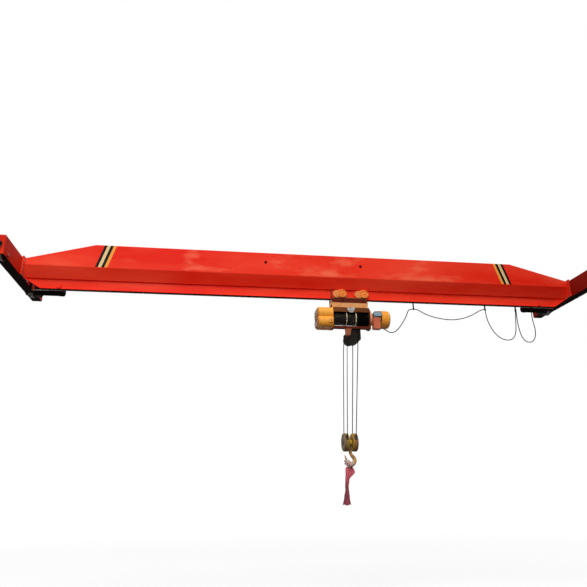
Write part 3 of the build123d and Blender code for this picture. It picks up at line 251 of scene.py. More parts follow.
def wovenCotton(name, main, shade, dark):
    # Plain woven cotton strip, piece dyed: matt with a soft sheen, unevenly faded, darker along its
    # left edge and towards its end. The weave is drawn coarse, at 4 mm, so that it shows.
    material, tree, place = newMaterial(name)
    x, y, z = addNode(tree, "SeparateXYZ", {0: place}).node.outputs
    threadsMm = 4.0
    waves = []
    for across in (addNode(tree, "Math", {0: x, 1: y}, operation="ADD"), z):
        turned = addNode(tree, "Math", {0: across, 1: 2 * math.pi * 1000 / threadsMm},
                         operation="MULTIPLY")
        waves += [addNode(tree, "Math", {0: turned}, operation="SINE")]
    weave = addNode(tree, "Math", {0: waves[0], 1: waves[1]}, operation="MULTIPLY")
    edge = overlap(tree, beyond(tree, place, 0, blockX - 0.125, blockX - 0.165), 0.75)
    low = overlap(tree, beyond(tree, place, 2, -4.80, -5.25), 0.6)
    coats = [(patches(tree, place, 120, 0.35, 0.7), shade),
             (addNode(tree, "Math", {0: edge, 1: low}, operation="MAXIMUM"), dark)]
    return finishSurface(material, [(weave, 0.3, 0.001)], {
        "Base Color": coated(tree, main, coats), "Roughness": 0.9, "Specular IOR Level": 0.2,
        "Sheen Weight": 0.25})


girderRed = girderEnamel()
# the same enamel on the end carriages, dustier, with painted shade that darkens the right one and turns
# the faces that look down nearly black
carriageRed = paintedSteel(
    "carriageRedEnamel", "#CC200E", "#5A120C", "#E03820", "#5A2018", gloss=0.04, rough=0.55,
    underShade="#100806", areas=((0, 14.60, 14.80, "#8E180E"),))
# bearing cartridges: carriage red in front, black at the driven wheels behind; painted shade underneath
cartridgeRed = paintedSteel(
    "cartridgeRedEnamel", "#C01E0E", "#5A120C", "#D43820", "#5A2018", gloss=0.04, rough=0.55,
    underShade="#100806", areas=((1, 1.2, 1.3, "#120C0A"),))
# black machine enamel on the travel drives: dull, with dust that turns it brown
blackEnamel = paintedSteel(
    "blackEnamel", "#120F0E", "#0A0808", "#1E1A18", "#3A3430", rough=0.65, gloss=0.03)
# moulded rubber of the buffers: matt charcoal
bufferRubber = darkRubber("mouldedRubber", "#121111", "#242220")
# turned cast steel of the travel wheels: bright tread, oily flanks
wheelSteel = bareSteel("turnedWheelSteel", "#5E5A55", "#2E2A27", rough=0.4)
# orange enamel on wheels and round covers, the brightest spots on the trolley
trolleyOrange = paintedSteel("wheelOrangeEnamel", "#F07A26", "#9A4A1C", "#FA9440", "#C07038", rough=0.45)
# the same orange brushed on the side plates, with pale patches and pale edges that are partly painted
# highlight; dark red-brown below the wheels and at the plates' left ends
sidePaint = paintedSteel(
    "sidePlateOrangePaint", "#D87630", "#7A3412", "#F0A060", "#D8A070", rough=0.5, gloss=0.10,
    areas=((2, -0.165, -0.195, "#541808"), (0, midX + 0.490, midX + 0.478, "#3A140A")))
# dark red primer, brushed: flat and brownish
platePaint = paintedSteel(
    "darkRedPrimer", "#5A1C0C", "#2A0C06", "#6C2A14", "#A86A4A", rough=0.6, gloss=0.06)
# tan undercoat on the box beam: chalky, with brown scrapes
beamPaint = paintedSteel("beamTanPaint", "#D88C48", "#7A4A26", "#E4A264", "#7A4A2A", rough=0.55)
# brown paint on the hoist's frame, its brown darkened as painted shade under the beam, nearly black
# with painted shade on faces that look down, and pale along its edges, partly rubbed and partly
# painted highlight
framePaint = paintedSteel(
    "frameBrownPaint", "#5A3016", "#2A160C", "#7A4422", "#C88A50", rough=0.5, edgeMm=7.0, gloss=0.06,
    underShade="#140A06")
# zinc-plated steel of the lug and wire fittings: light grey, slightly frosted
lugSteel = bareSteel("zincPlatedSteel", "#A8A49C", "#6E6860", rough=0.45, metallic=0.7)
# turned iron of the rope drum under grease: nearly black, with small bright glints that are painted
# highlights
drumSteel = bareSteel(
    "greasedDrumIron", "#211A14", "#0E0A08", rough=0.45, metallic=0.3, gloss=0.12, paintedGlint="#8A7A58")
# cast iron of the rope guide, rubbed bright by the rope
guideSteel = bareSteel("rubbedGuideIron", "#D8C8A8", "#8A7454", rough=0.4, metallic=0.4)
# amber enamel of the hoist: the glossiest coat, browner at the housing's outer end with painted shade,
# greyer on the motor's end face
hoistYellow = paintedSteel(
    "hoistAmberEnamel", "#FCA22E", "#B0681E", "#FFB244", "#8A5420", rough=0.36, gloss=0.3,
    areas=((0, midX + 0.115, midX + 0.060, "#8E5A30"), (0, midX + 1.990, midX + 2.025, "#9A7A58")))
# brick-coloured enamel of the control box: satin
controlRed = paintedSteel("controlBoxEnamel", "#C25E3C", "#7A3420", "#CE7250", "#6A3020", rough=0.5)
# injection-moulded ABS of the cover: even blue-grey, satin, no chips
coverPlastic = paintedSteel("mouldedAbs", "#8098A6", "#4A5A64", "#9AB0BA", "#9AB0BA", rough=0.4, gloss=0.35)
# red-brown primer on the rope anchor, pale at its edges: partly rubbed, partly painted highlight
anchorPaint = paintedSteel("anchorBrownPrimer", "#8E4A28", "#3A2016", "#A86040", "#D8B090", rough=0.5)
# tar-black paint on the upper sheave's cheeks
cheekPaint = paintedSteel(
    "cheekBlackPaint", "#1E1812", "#0C0906", "#2C241C", "#5A4430", rough=0.5, gloss=0.15)
# yellow enamel worn to grey-brown grime on the block's guards, yellow left beside the crosshead
blockYellow = paintedSteel(
    "wornBlockEnamel", "#766248", "#3E3222", "#8E7852", "#4A4030", rough=0.55, grime=0.6, gloss=0.10,
    areas=((0, blockX - 0.115, blockX - 0.075, "#A58436"),
           (0, blockX + 0.055, blockX + 0.085, "#A0683A"),
           (0, blockX + 0.125, blockX + 0.150, "#6C6460")))
# greased cast iron of the sheaves
sheaveSteel = bareSteel("greasedSheaveIron", "#3A3632", "#1C1A18", rough=0.45)
# drop-forged hook: brown-yellow scale, rubbed in the bowl
hookSteel = bareSteel("forgedHookSteel", "#D0A462", "#946A38", rough=0.5, metallic=0.15, gloss=0.3)
# stranded wire rope, black with rope grease: dull
ropeSteel = bareSteel("greasedWireRope", "#0A0908", "#040404", rough=0.75, metallic=0.0, gloss=0.02)
# extruded rubber sheath of the flat-hanging cable
cableRubber = darkRubber("cableSheathRubber", "#060606", "#100F0E", rough=0.8)
# pressed steel of the cable carriers, oiled
carrierSteel = bareSteel("oiledCarrierSteel", "#2C2A28", "#141312", rough=0.5)
# cotton strip on the hook, and the paler washed-out cloth of its knot
ribbonCotton = wovenCotton("dyedCotton", "#E06A76", "#B4505E", "#6E2438")
paleCotton = wovenCotton("paleCotton", "#D8BCB0", "#B08C84", "#9A6A66")
# zinc-plated bolts, a little rusty
boltSteel = bareSteel("zincPlatedBolts", "#8C857C", "#4E4842", rough=0.45, metallic=0.75)
# salmon paint on a band round the motor's flange
salmonPaint = paintedSteel("flangePrimer", "#E89A80", "#B86A50", "#F0B098", "#B86A50", rough=0.5)
# moulded gaskets round the lids: black outlines
gasketRubber = darkRubber("mouldedGasketRubber", "#060606", "#161514")
# fresh yellow enamel on the crosshead, the brightest patch of the block; its near-white edges are
# partly painted highlight
crossheadYellow = paintedSteel(
    "crossheadYellowEnamel", "#E2B83C", "#8A6A24", "#F0D070", "#F4E4B0", rough=0.4)

finishes = {
    girderRed: ["girder_channel", "girder_webs", "running_beam", "beam_end_plates", "girder_flanges",
                "trolley_stops"],
    carriageRed: ["end_carriage_left", "end_carriage_right"],
    cartridgeRed: ["wheel_cartridges"],
    blackEnamel: ["travel_reducers", "travel_motors", "buffer_seats",
                  "wire_brackets", "trolley_drive"],
    bufferRubber: ["buffers"],
    wheelSteel: [f"travel_wheel_{side}_{end}" for side in ("left", "right")
                 for end in ("front", "back")],
    trolleyOrange: ["trolley_wheels_left", "trolley_wheels_right", "trolley_pins"],
    sidePaint: ["trolley_sides"],
    platePaint: ["trolley_tie_rods", "hoist_tie_bars"],
    beamPaint: ["trolley_beam"],
    framePaint: ["hoist_end_plates", "hoist_saddle"],
    lugSteel: ["suspension_lug", "festoon_wire"],
    drumSteel: ["rope_drum"],
    guideSteel: ["rope_guide"],
    hoistYellow: ["gear_housing", "hoist_motor"],
    controlRed: ["control_box"],
    coverPlastic: ["junction_cover"],
    anchorPaint: ["rope_anchor"],
    cheekPaint: ["upper_sheave_cheeks"],
    blockYellow: ["block_guards"],
    crossheadYellow: ["block_yoke"],
    sheaveSteel: ["upper_sheave", "block_sheave_left", "block_sheave_right", "block_pin"],
    hookSteel: ["hook"],
    ropeSteel: ["rope_falls", "block_rope"],
    cableRubber: ["festoon_lead", "festoon_span_1", "festoon_span_2", "festoon_span_3"],
    carrierSteel: ["festoon_carrier_1", "festoon_carrier_2", "festoon_carrier_3"],
    ribbonCotton: ["hook_ribbon"],
}
for material, names in finishes.items():
    for name in names:
        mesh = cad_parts[name].data
        mesh.materials.clear()
        mesh.materials.append(material)
print("materials on", sum(len(names) for names in finishes.values()), "nodes")


# Cords
def splineObject(name, points, thickness=0.0, steps=12, profile=None, tilts=None):
    # a curve of one NURBS spline through the route's control points
    curve = bpy.data.curves.new(name, "CURVE")
    curve.dimensions = "3D"
    curve.resolution_u = steps
    if profile:
        curve.bevel_mode = "OBJECT"
        curve.bevel_object = profile
    else:
        curve.bevel_depth = thickness
        curve.bevel_resolution = 4
    curve.use_fill_caps = thickness > 0 or profile is not None
    spline = curve.splines.new("NURBS")
    spline.points.add(len(points) - 1)
    for n, point in enumerate(points):
        spline.points[n].co = (*point, 1.0)
        if tilts:
            spline.points[n].tilt = tilts[n]
    spline.order_u = 3
    spline.use_endpoint_u = True
    return newObject(name, curve)


def meshFrom(curveObject):
    bpy.context.view_layer.update()
    graph = bpy.context.evaluated_depsgraph_get()
    return bpy.data.meshes.new_from_object(curveObject.evaluated_get(graph))


def routeLine(points, steps=12):
    # the points that the route's own spline passes through
    line = splineObject("routeLine", points, steps=steps)
    mesh = meshFrom(line)
    found = [v.co.copy() for v in mesh.vertices]
    bpy.data.objects.remove(line)
    bpy.data.meshes.remove(mesh)
    return found


def lineLength(points):
    return sum((b - a).length for a, b in zip(points, points[1:]))


def cordMesh(name, points, material, slotName, **shape):
    # turns a bevelled spline into a mesh object at the origin
    curve = splineObject(name + "Spline", points, **shape)
    made = newObject(name, meshFrom(curve))
    bpy.data.objects.remove(curve)
    made.data.materials.clear()
    made.data.materials.append(material)
    made.data.polygons.foreach_set("use_smooth", [True] * len(made.data.polygons))
    return made


festoonCable = {
    "diameter": 0.024,
    "wireY": 0.600,
    "carriers": (3.000, 5.160, 6.105),
    "saddles": (-0.195, -0.135, -0.118),
    "clampX": 6.600,
    "clampZ": -0.0623,
    "exit": (1.7263, -0.225, -1.050),
}


def shareRoute(start, end, shares):
    return [(start[0] + a * (end[0] - start[0]), start[1] + b * (end[1] - start[1]), z)
            for a, b, z in shares]


def offsetRoute(place, offsets):
    return [(place[0] + a, place[1] + b, place[2] + c) for a, b, c in offsets]


def festoonRoutes():
    # control points of the four cable lengths, from mid-span and the girder's middle plane
    h1, h2, h3 = festoonCable["carriers"]
    z1, z2, z3 = festoonCable["saddles"]
    y = festoonCable["wireY"]
    side, low = 0.0243, 0.0203  # where the cable leaves a carrier's saddle, or hangs under it
    close, wide = 0.004, 0.013  # how far from a carrier's middle the hanging lengths start
    start = festoonCable["exit"]
    leadEnd = (h1 - side, y, z1)
    first, firstEnd = (h1 + side, y, z1), (h2 - side, y, z2)
    second, secondEnd = (h2 + close, y, z2 - low), (h3 - wide, y, z3 - low)
    third, thirdEnd = (h3 + wide, y, z3 - low), (festoonCable["clampX"], y, festoonCable["clampZ"])
    return {
        "festoon_lead":
            offsetRoute(start, [(0, 0, 0), (0.050, 0, 0), (0.112, 0.006, -0.018),
                                (0.180, 0.028, -0.050)])
            + shareRoute(start, leadEnd, [(0.2, 0.1, -1.122), (0.3, 0.2, -1.110),
                                          (0.41, 0.33, -1.030), (0.53, 0.49, -0.890),
                                          (0.66, 0.66, -0.690), (0.785, 0.82, -0.475)])
            + offsetRoute(leadEnd, [(-0.187, -0.064, -0.123), (-0.153, -0.042, -0.067),
                                    (-0.112, -0.020, -0.028), (-0.069, -0.006, -0.008),
                                    (-0.025, 0, 0), (0, 0, 0)]),
        "festoon_span_1":
            offsetRoute(first, [(0, 0, 0), (0.025, 0, 0), (0.069, 0, -0.008), (0.120, 0, -0.028),
                                (0.180, 0, -0.065)])
            + shareRoute(first, firstEnd, [(0.16, 1, -0.345), (0.27, 1, -0.420), (0.39, 1, -0.465),
                                           (0.52, 1, -0.482), (0.65, 1, -0.440), (0.76, 1, -0.365),
                                           (0.85, 1, -0.275)])
            + offsetRoute(firstEnd, [(-0.197, 0, -0.065), (-0.126, 0, -0.028), (-0.069, 0, -0.008),
                                     (-0.025, 0, 0), (0, 0, 0)]),
        "festoon_span_2":
            [second, (h2 + close, y, -0.240)]
            + shareRoute(second, secondEnd, [(0.02, 1, -0.420), (0.08, 1, -0.610), (0.19, 1, -0.805),
                                             (0.33, 1, -0.950), (0.49, 1, -1.025), (0.67, 1, -1.033),
                                             (0.82, 1, -0.965), (0.91, 1, -0.810), (0.95, 1, -0.590),
                                             (0.975, 1, -0.360)])
            + [(h3 - wide, y, -0.230), secondEnd],
        "festoon_span_3":
            [third, (h3 + wide, y, -0.230)]
            + shareRoute(third, thirdEnd, [(-0.02, 1, -0.420), (0.01, 1, -0.660), (0.08, 1, -0.880),
                                           (0.24, 1, -1.025), (0.51, 1, -1.088), (0.81, 1, -1.045),
                                           (1, 1, -0.900), (1.06, 1, -0.680), (1, 1, -0.480),
                                           (0.97, 1, -0.330), (1, 1, -0.190)])
            + [thirdEnd],
    }


def smoothStep(t):
    return t * t * (3 - 2 * t)


def valueWhere(grown, target, high):
    # the value from 0 to high at which something that grows with it reaches a target
    low = 0.0
    for _ in range(40):
        middle = (low + high) / 2
        if grown(middle) < target:
            low = middle
        else:
            high = middle
    return low


# how much of the trolley's travel each carrier makes, from the hoist to the fixed clamp
followShares = {"festoon_lead": (1.0, 0.655), "festoon_span_1": (0.655, 0.24),
                "festoon_span_2": (0.24, 0.067), "festoon_span_3": (0.067, 0.0)}


def hangFestoon():
    for node, route in festoonRoutes().items():
        points = [at(*point) for point in route]
        line = routeLine(points)
        name = "cable" + node.replace("festoon_", "").replace("_", "").capitalize()
        cable = cordMesh(name, points, cableRubber, "cable_rubber",
                         thickness=festoonCable["diameter"] / 2)
        nearShare, farShare = (valueWhere(smoothStep, w, 1.0) for w in followShares[node])
        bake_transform(cable)
        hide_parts(node)
        print(name, round(lineLength(line), 3), "m")


wireRope = {
    "radius": 0.011, "strands": 6, "perStrand": 4, "valley": 0.80, "layLength": 0.115, "steps": 64,
    "blendZ": (-1.320, -3.918),
    # from the anchor down and round the left block sheave, up and over the upper sheave, down and
    # round the right block sheave, and up to the drum
    "route": (
        (0.830, -0.190, -1.2808), (0.769, -0.190, -2.6054),
        (0.708, -0.190, -4.0087), (0.708, -0.0787, -4.120), (0.708, 0.0787, -4.120),
        (0.708, 0.190, -4.0087), (0.764, 0.190, -2.615),
        (0.820, 0.190, -1.24615), (0.89615, 0.190, -1.170), (1.00385, 0.190, -1.170),
        (1.080, 0.190, -1.24615), (1.001, 0.190, -2.615),
        (0.922, 0.190, -4.0087), (0.922, 0.0787, -4.120), (0.922, -0.0787, -4.120),
        (0.922, -0.190, -4.0087), (1.041, -0.190, -2.3375), (1.160, -0.190, -0.745)),
}


def hangRope():
    # one rope round the sheaves, with its strands laid round its line
    points = [at(*point) for point in wireRope["route"]]
    line = routeLine(points, wireRope["steps"])
    profile = bpy.data.curves.new("ropeSection", "CURVE")
    profile.dimensions = "2D"
    ring = profile.splines.new("POLY")
    count = wireRope["strands"] * wireRope["perStrand"]
    ring.points.add(count - 1)
    for n in range(count):
        angle = 2 * math.pi * n / count
        lobe = abs(math.cos(angle * wireRope["strands"] / 2))
        radius = wireRope["radius"] * (wireRope["valley"] + (1 - wireRope["valley"]) * lobe)
        ring.points[n].co = (radius * math.cos(angle), radius * math.sin(angle), 0, 1)
    ring.use_cyclic_u = True
    section = newObject("ropeSection", profile)
    spans = [0.0]
    for a, b in zip(points, points[1:]):
        spans.append(spans[-1] + (Vector(b) - Vector(a)).length)
    tilts = [s / wireRope["layLength"] * 2 * math.pi for s in spans]
    rope = cordMesh("wireRope", points, ropeSteel, "rope_steel", steps=wireRope["steps"],
                    profile=section, tilts=tilts)
    bpy.data.objects.remove(section)
    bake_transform(rope)
    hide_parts("rope_falls", "block_rope")


hangFestoon()
hangRope()


# Mesh helpers
def meshObject(name, bm, material):
    mesh = bpy.data.meshes.new(name)
    bm.to_mesh(mesh)
    bm.free()
    mesh.materials.append(material)
    return newObject(name, mesh)


def finishPiece(name, bm, material, body, sharp=32.0):
    # merges doubles, turns the faces outwards, keeps edges steeper than sharp degrees crisp
    bmesh.ops.remove_doubles(bm, verts=bm.verts, dist=0.00002)
    bmesh.ops.recalc_face_normals(bm, faces=bm.faces)
    for face in bm.faces:
        face.smooth = True
    for edge in bm.edges:
        edge.smooth = edge.calc_face_angle(0.0) < math.radians(sharp)
    made = meshObject(name, bm, material)
    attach(made, body)
    return made


def aimed(place, direction):
    # matrix that puts a shape's +Z along a direction, at a place
    return Matrix.Translation(place) @ Vector(direction).to_track_quat("Z", "Y").to_matrix().to_4x4()


def edgesOf(verts):
    return list({e for v in verts for e in v.link_edges})


def vertsIn(geometry):
    return [g for g in geometry if isinstance(g, bmesh.types.BMVert)]


def startTube(bm, place, direction, radius, segments):
    # a circle across a direction and its edges, to be extruded or spun
    ring = bmesh.ops.create_circle(bm, segments=segments, radius=radius,
                                   matrix=aimed(place, direction))["verts"]
    return ring, edgesOf(ring)


def closeEnds(bm, sides):
    bmesh.ops.holes_fill(bm, edges=[e for e in bm.edges if e.is_boundary], sides=sides)


def soften(bm, geometry, width, kind="EDGES", segments=2):
    bmesh.ops.bevel(bm, geom=geometry, offset=width, affect=kind, segments=segments, profile=0.5,
                    material=-1)


def addDisc(bm, place, direction, radius, height, sides=24, top=None, edge=0.0):
    # closed round or hexagonal shape that stands on a place; top is its other radius
    made = bmesh.ops.create_cone(bm, cap_ends=True, segments=sides, radius1=radius,
                                 radius2=radius if top is None else top, depth=height,
                                 matrix=aimed(place, direction) @ Matrix.Translation((0, 0, height / 2)))
    if edge > 0:
        outward = Vector(direction).normalized()
        far = [v for v in made["verts"] if (v.co - Vector(place)).dot(outward) > height * 0.9]
        soften(bm, list({e for v in far for e in v.link_edges if all(w in far for w in e.verts)}), edge)


def addBolt(bm, place, direction, headRadius):
    # washer, chamfered hexagon head and the stub of its shank
    outward = Vector(direction).normalized() * headRadius
    addDisc(bm, place, direction, headRadius * 1.25, headRadius * 0.22, sides=16)
    addDisc(bm, Vector(place) + outward * 0.2, direction, headRadius, headRadius * 0.75, sides=6,
            edge=headRadius * 0.12)
    addDisc(bm, Vector(place) + outward * 0.9, direction, headRadius * 0.5, headRadius * 0.3, sides=10)


def boltCircle(bm, centre, direction, radius, count, headRadius, start=0.0):
    place = aimed(centre, direction)
    for n in range(count):
        angle = start + 2 * math.pi * n / count
        spot = place @ Vector((radius * math.cos(angle), radius * math.sin(angle), 0))
        addBolt(bm, spot, direction, headRadius)


def addRing(bm, place, direction, profile, steps=48):
    # turns a closed outline of (radius, height) points a full turn round a direction
    turn = aimed(place, direction)
    loop = [bm.verts.new(turn @ Vector((radius, 0, height))) for radius, height in profile]
    edges = [bm.edges.new((a, b)) for a, b in zip(loop, loop[1:] + loop[:1])]
    bmesh.ops.spin(bm, geom=loop + edges, cent=place, axis=Vector(direction).normalized(),
                   angle=2 * math.pi, steps=steps, use_merge=True, use_duplicate=False)


def addBox(bm, low, high, edge=0.003):
    size = [b - a for a, b in zip(low, high)]
    centre = [(a + b) / 2 for a, b in zip(low, high)]
    made = bmesh.ops.create_cube(bm, size=1.0, matrix=Matrix.Translation(centre)
                                 @ Matrix.Diagonal((*size, 1.0)))
    soften(bm, edgesOf(made["verts"]), edge)


weldBead = {"pitch": 0.02, "ripple": 0.18}


def addBead(bm, start, end, radius):
    # weld bead: a rippled rod that grows thinner from its start
    ripple = weldBead["ripple"]
    start, end = Vector(start), Vector(end)
    ring, edges = startTube(bm, start, (end - start).normalized(), radius, 6)
    steps = max(2, int((end - start).length / weldBead["pitch"]))
    stepVector = (end - start) / steps
    for n in range(steps):
        grown = bmesh.ops.extrude_edge_only(bm, edges=edges)["geom"]
        ring = vertsIn(grown)
        edges = [g for g in grown if isinstance(g, bmesh.types.BMEdge)
                 and all(v in ring for v in g.verts)]
        bmesh.ops.translate(bm, verts=ring, vec=stepVector)
        if 0 < n < steps - 1:
            swell = 1 + ripple if n % 2 else (1 - ripple) / (1 + ripple)
            middle = start + stepVector * (n + 1)
            for v in ring:
                v.co = middle + (v.co - middle) * swell
    closeEnds(bm, 8)


# Bridge details
rails = ((1, 0.0), (-1, 15.0))  # which way is inwards, and where each rail runs
girderParts = {
    "flangeFace": 0.170, "boltY": 0.240, "boltRows": (0.095, 0.180, 0.265, 0.350, 0.435, 0.515),
    "footY": (-0.15, -0.05, 0.05, 0.15), "footZ": 0.085, "boltHead": 0.014,
    "seams": ((0.175, 0.2008, 0.3475), (0.26, 0.0640, 0.0685)), "beadRadius": 0.0050,
    "ropeHole": (1.293, 0.199, 0.697),
}
carriageParts = {
    "wheelZ": 0.135, "wheelBase": 2.5, "cartridgeFace": 0.142, "capFace": 0.168,
    "cartridgeCircle": 0.0755, "cartridgeHead": 0.0075,
    "bufferY": ((-0.262, -1), (3.012, 1)), "bufferZ": 0.290, "bufferBolt": 0.058, "bufferHead": 0.009,
}


def boltBridge():
    g = girderParts
    bm = bmesh.new()
    for end in (-1, 1):
        spots = [(side * g["boltY"], z) for side in (-1, 1) for z in g["boltRows"]]
        spots += [(y, g["footZ"]) for y in g["footY"]]
        for y, z in spots:
            addBolt(bm, at(end * (midX - g["flangeFace"]), y, z), (-end, 0, 0), g["boltHead"])
    finishPiece("flangeBolts", bm, boltSteel, "bridge")
    c = carriageParts
    bm = bmesh.new()
    for inwards, rail in rails:
        for y, side in ((0.0, -1), (0.0, 1), (c["wheelBase"], -1)):
            way = inwards * side
            boltCircle(bm, (rail + way * c["cartridgeFace"], y, c["wheelZ"]), (way, 0, 0),
                       c["cartridgeCircle"], 6, c["cartridgeHead"], start=math.pi / 6)
            addRing(bm, (rail + way * c["capFace"], y, c["wheelZ"]), (way, 0, 0),
                    [(0.012, -0.002), (0.034, -0.002), (0.034, 0.003), (0.031, 0.005), (0.012, 0.005)], 32)
    finishPiece("cartridgeBolts", bm, boltSteel, "bridge")
    bm = bmesh.new()
    for _, rail in rails:
        for y, way in c["bufferY"]:
            for x, z in ((-1, -1), (-1, 1), (1, -1), (1, 1)):
                addBolt(bm, (rail + x * c["bufferBolt"], y, c["bufferZ"] + z * c["bufferBolt"]),
                        (0, way, 0), c["bufferHead"])
    finishPiece("bufferBolts", bm, boltSteel, "bridge")


travelMotor = {
    "x": 0.255, "y": 2.335, "z": 0.110, "boxX": 0.19, "boxLength": 0.16, "boxWidth": 0.11,
    "boxTop": 0.262, "fanX": 0.640, "fanRings": (0.030, 0.052, 0.074), "axle": (2.5, 0.135),
    "coverRadius": 0.070, "coverCircle": 0.105,
}


def dressTravelDrives():
    # terminal box, cable gland and fan grille on each travel motor, cover and bolts on its gear case
    t = travelMotor
    half, wide, top = t["boxLength"] / 2, t["boxWidth"] / 2, t["boxTop"]
    bm = bmesh.new()
    metal = bmesh.new()
    for inwards, rail in rails:
        x, y, z = rail + inwards * (t["x"] + t["boxX"]), t["y"], t["z"]
        addBox(bm, (x - half, y - wide, z + 0.085), (x + half, y + wide, top), 0.008)
        addBox(bm, (x - half - 0.006, y - wide - 0.006, top - 0.022),
               (x + half + 0.006, y + wide + 0.006, top - 0.010))
        for a, b in ((-1, -1), (-1, 1), (1, -1), (1, 1)):
            addDisc(metal, (x + a * (half - 0.016), y + b * (wide - 0.016), top), (0, 0, 1), 0.006, 0.004,
                    sides=10)
        addDisc(metal, (x, y - wide, z + 0.125), (0, -1, 0), 0.014, 0.022, sides=6, edge=0.002)
        for radius in t["fanRings"]:
            addRing(bm, (rail + inwards * (t["x"] + t["fanX"]), y, z), (inwards, 0, 0),
                    [(radius, -0.001), (radius + 0.008, -0.001), (radius + 0.008, 0.003),
                     (radius, 0.003)], 40)
        case = (rail + inwards * t["x"], *t["axle"])
        boltCircle(metal, case, (inwards, 0, 0), t["coverCircle"], 8, 0.008, start=0.3)
        addDisc(bm, case, (inwards, 0, 0), t["coverRadius"], 0.014, sides=40, edge=0.004)
    finishPiece("travelMotorCovers", bm, blackEnamel, "bridge")
    finishPiece("travelDriveBolts", metal, boltSteel, "bridge")


def weldBridge():
    # seams along the folds, where the beam meets the sloping webs, and round the two rope holes
    bm = bmesh.new()
    holeX, holeY, holeZ = girderParts["ropeHole"]
    for side in (-1, 1):
        for x, y, z in girderParts["seams"]:
            addBead(bm, (x, midY + side * y, z), (2 * midX - x, midY + side * y, z),
                    girderParts["beadRadius"])
        for hole in (-1, 1):
            addRing(bm, at(hole * holeX, side * holeY, holeZ), (0, side, 0),
                    [(0.0365, 0.0), (0.0365, 0.006), (0.040, 0.008), (0.044, 0.006), (0.044, 0.0)], 40)
    finishPiece("girderWelds", bm, girderRed, "bridge", sharp=60.0)


wireParts = {
    "y": 0.600, "z": -0.022, "anchorX": 0.146, "turnbuckleX": 0.230,
    "turnbuckle": ((0.0, 0.008, 0.030, 12, 0.0), (0.030, 0.014, 0.016, 6, 0.002),
                   (0.176, 0.014, 0.016, 6, 0.002), (0.190, 0.008, 0.030, 12, 0.0)),
    "gripX": 0.28, "grips": 3, "gripStep": 0.05,
}


def dressWire():
    # nuts where the carrier wire is fixed, a turnbuckle and grips at its left end
    w = wireParts
    y, z, start = midY + w["y"], w["z"], w["turnbuckleX"]
    bm = bmesh.new()
    for inwards, rail in rails:
        x = rail + inwards * w["anchorX"]
        addDisc(bm, (x, y, z), (inwards, 0, 0), 0.017, 0.014, sides=6, edge=0.002)
        addDisc(bm, (x + inwards * 0.014, y, z), (inwards, 0, 0), 0.010, 0.050, sides=16, top=0.006)
    for x, radius, length, sides, edge in w["turnbuckle"]:
        addDisc(bm, (start + x, y, z), (1, 0, 0), radius, length, sides=sides, edge=edge)
    for side in (-1, 1):
        addBox(bm, (start + 0.040, y + side * 0.011 - 0.003, z - 0.007),
               (start + 0.180, y + side * 0.011 + 0.003, z + 0.007), 0.002)
    for n in range(w["grips"]):
        x = start + w["gripX"] + w["gripStep"] * n
        addBox(bm, (x, y - 0.010, z - 0.012), (x + 0.018, y + 0.010, z + 0.008), 0.002)
    finishPiece("wireFittings", bm, lugSteel, "bridge")


# Trolley and hoist details
trolleyParts = {
    "x": 1.069, "halfBase": 0.300, "axleZ": -0.075, "coverFace": 0.139, "coverCircle": 0.096,
    "coverHead": 0.0085, "rodX": 0.280, "rodZ": -0.255, "rodFaces": (0.124, 0.139),
    "topBolts": 9, "topBoltX": 0.520, "topBoltStep": 0.11, "topBoltY": 0.105, "topZ": -0.345,
    "beamY": 0.150, "seams": ((0.478, 1.438, 0.150, -0.3455), (0.478, 1.438, 0.150, -0.4995),
                              (0.480, 1.436, 0.1015, -0.342)),
    "ribs": 3, "ribX": 0.62, "ribStep": 0.34, "ribZ": (-0.492, -0.353),
}


def dressTrolley():
    t = trolleyParts
    bm = bmesh.new()
    for side in (-1, 1):
        for wheel in (-1, 1):
            centre = at(t["x"] + wheel * t["halfBase"], side * t["coverFace"], t["axleZ"])
            boltCircle(bm, centre, (0, side, 0), t["coverCircle"], 8, t["coverHead"], start=math.pi / 8)
            addDisc(bm, centre, (0, side, 0), 0.022, 0.012, sides=6, edge=0.002)
    finishPiece("wheelCoverBolts", bm, trolleyOrange, "trolley")
    bm = bmesh.new()
    nutFace, stubFace = t["rodFaces"]
    for side in (-1, 1):
        for end in (-1, 1):
            x = t["x"] + end * t["rodX"]
            addDisc(bm, at(x, side * nutFace, t["rodZ"]), (0, side, 0), 0.026, 0.016, sides=6, edge=0.003)
            addDisc(bm, at(x, side * stubFace, t["rodZ"]), (0, side, 0), 0.0165, 0.014, sides=20,
                    edge=0.002)
        for n in range(t["topBolts"]):
            x = t["topBoltX"] + t["topBoltStep"] * n
            addBolt(bm, at(x, side * t["topBoltY"], t["topZ"]), (0, 0, 1), 0.009)
    finishPiece("trolleyNuts", bm, platePaint, "trolley")
    bm = bmesh.new()
    ribLow, ribHigh = t["ribZ"]
    for side in (-1, 1):
        for left, right, y, z in t["seams"]:
            addBead(bm, at(left, side * y, z), at(right, side * y, z), 0.0045)
        near, far = sorted((midY + side * t["beamY"], midY + side * (t["beamY"] + 0.020)))
        for n in range(t["ribs"]):
            x = midX + t["ribX"] + t["ribStep"] * n
            addBox(bm, (x, near, ribLow), (x + 0.014, far, ribHigh), 0.004)
    finishPiece("boxBeamWelds", bm, beamPaint, "trolley", sharp=60.0)


hoistParts = {
    "axisZ": -0.745, "housingFace": 0.050, "lobeFace": 0.0625, "lobeY": 0.1, "lobeTop": 0.098,
    "lobeBottom": -0.126, "lobeBolts": 0.104, "ribs": 4, "ribX": 0.15, "ribStep": 0.085,
    "inspection": (0.404, -0.285, -0.875), "flangeX": 1.4755, "flangeFace": 1.515, "motorEnd": 2.028,
    "grille": (0.050, 0.078, 0.106, 0.134), "spokes": 6, "bodyRings": (1.752, 1.775, 1.968),
    "fins": 28, "finX": 1.8715, "finRadius": 0.2345,
}


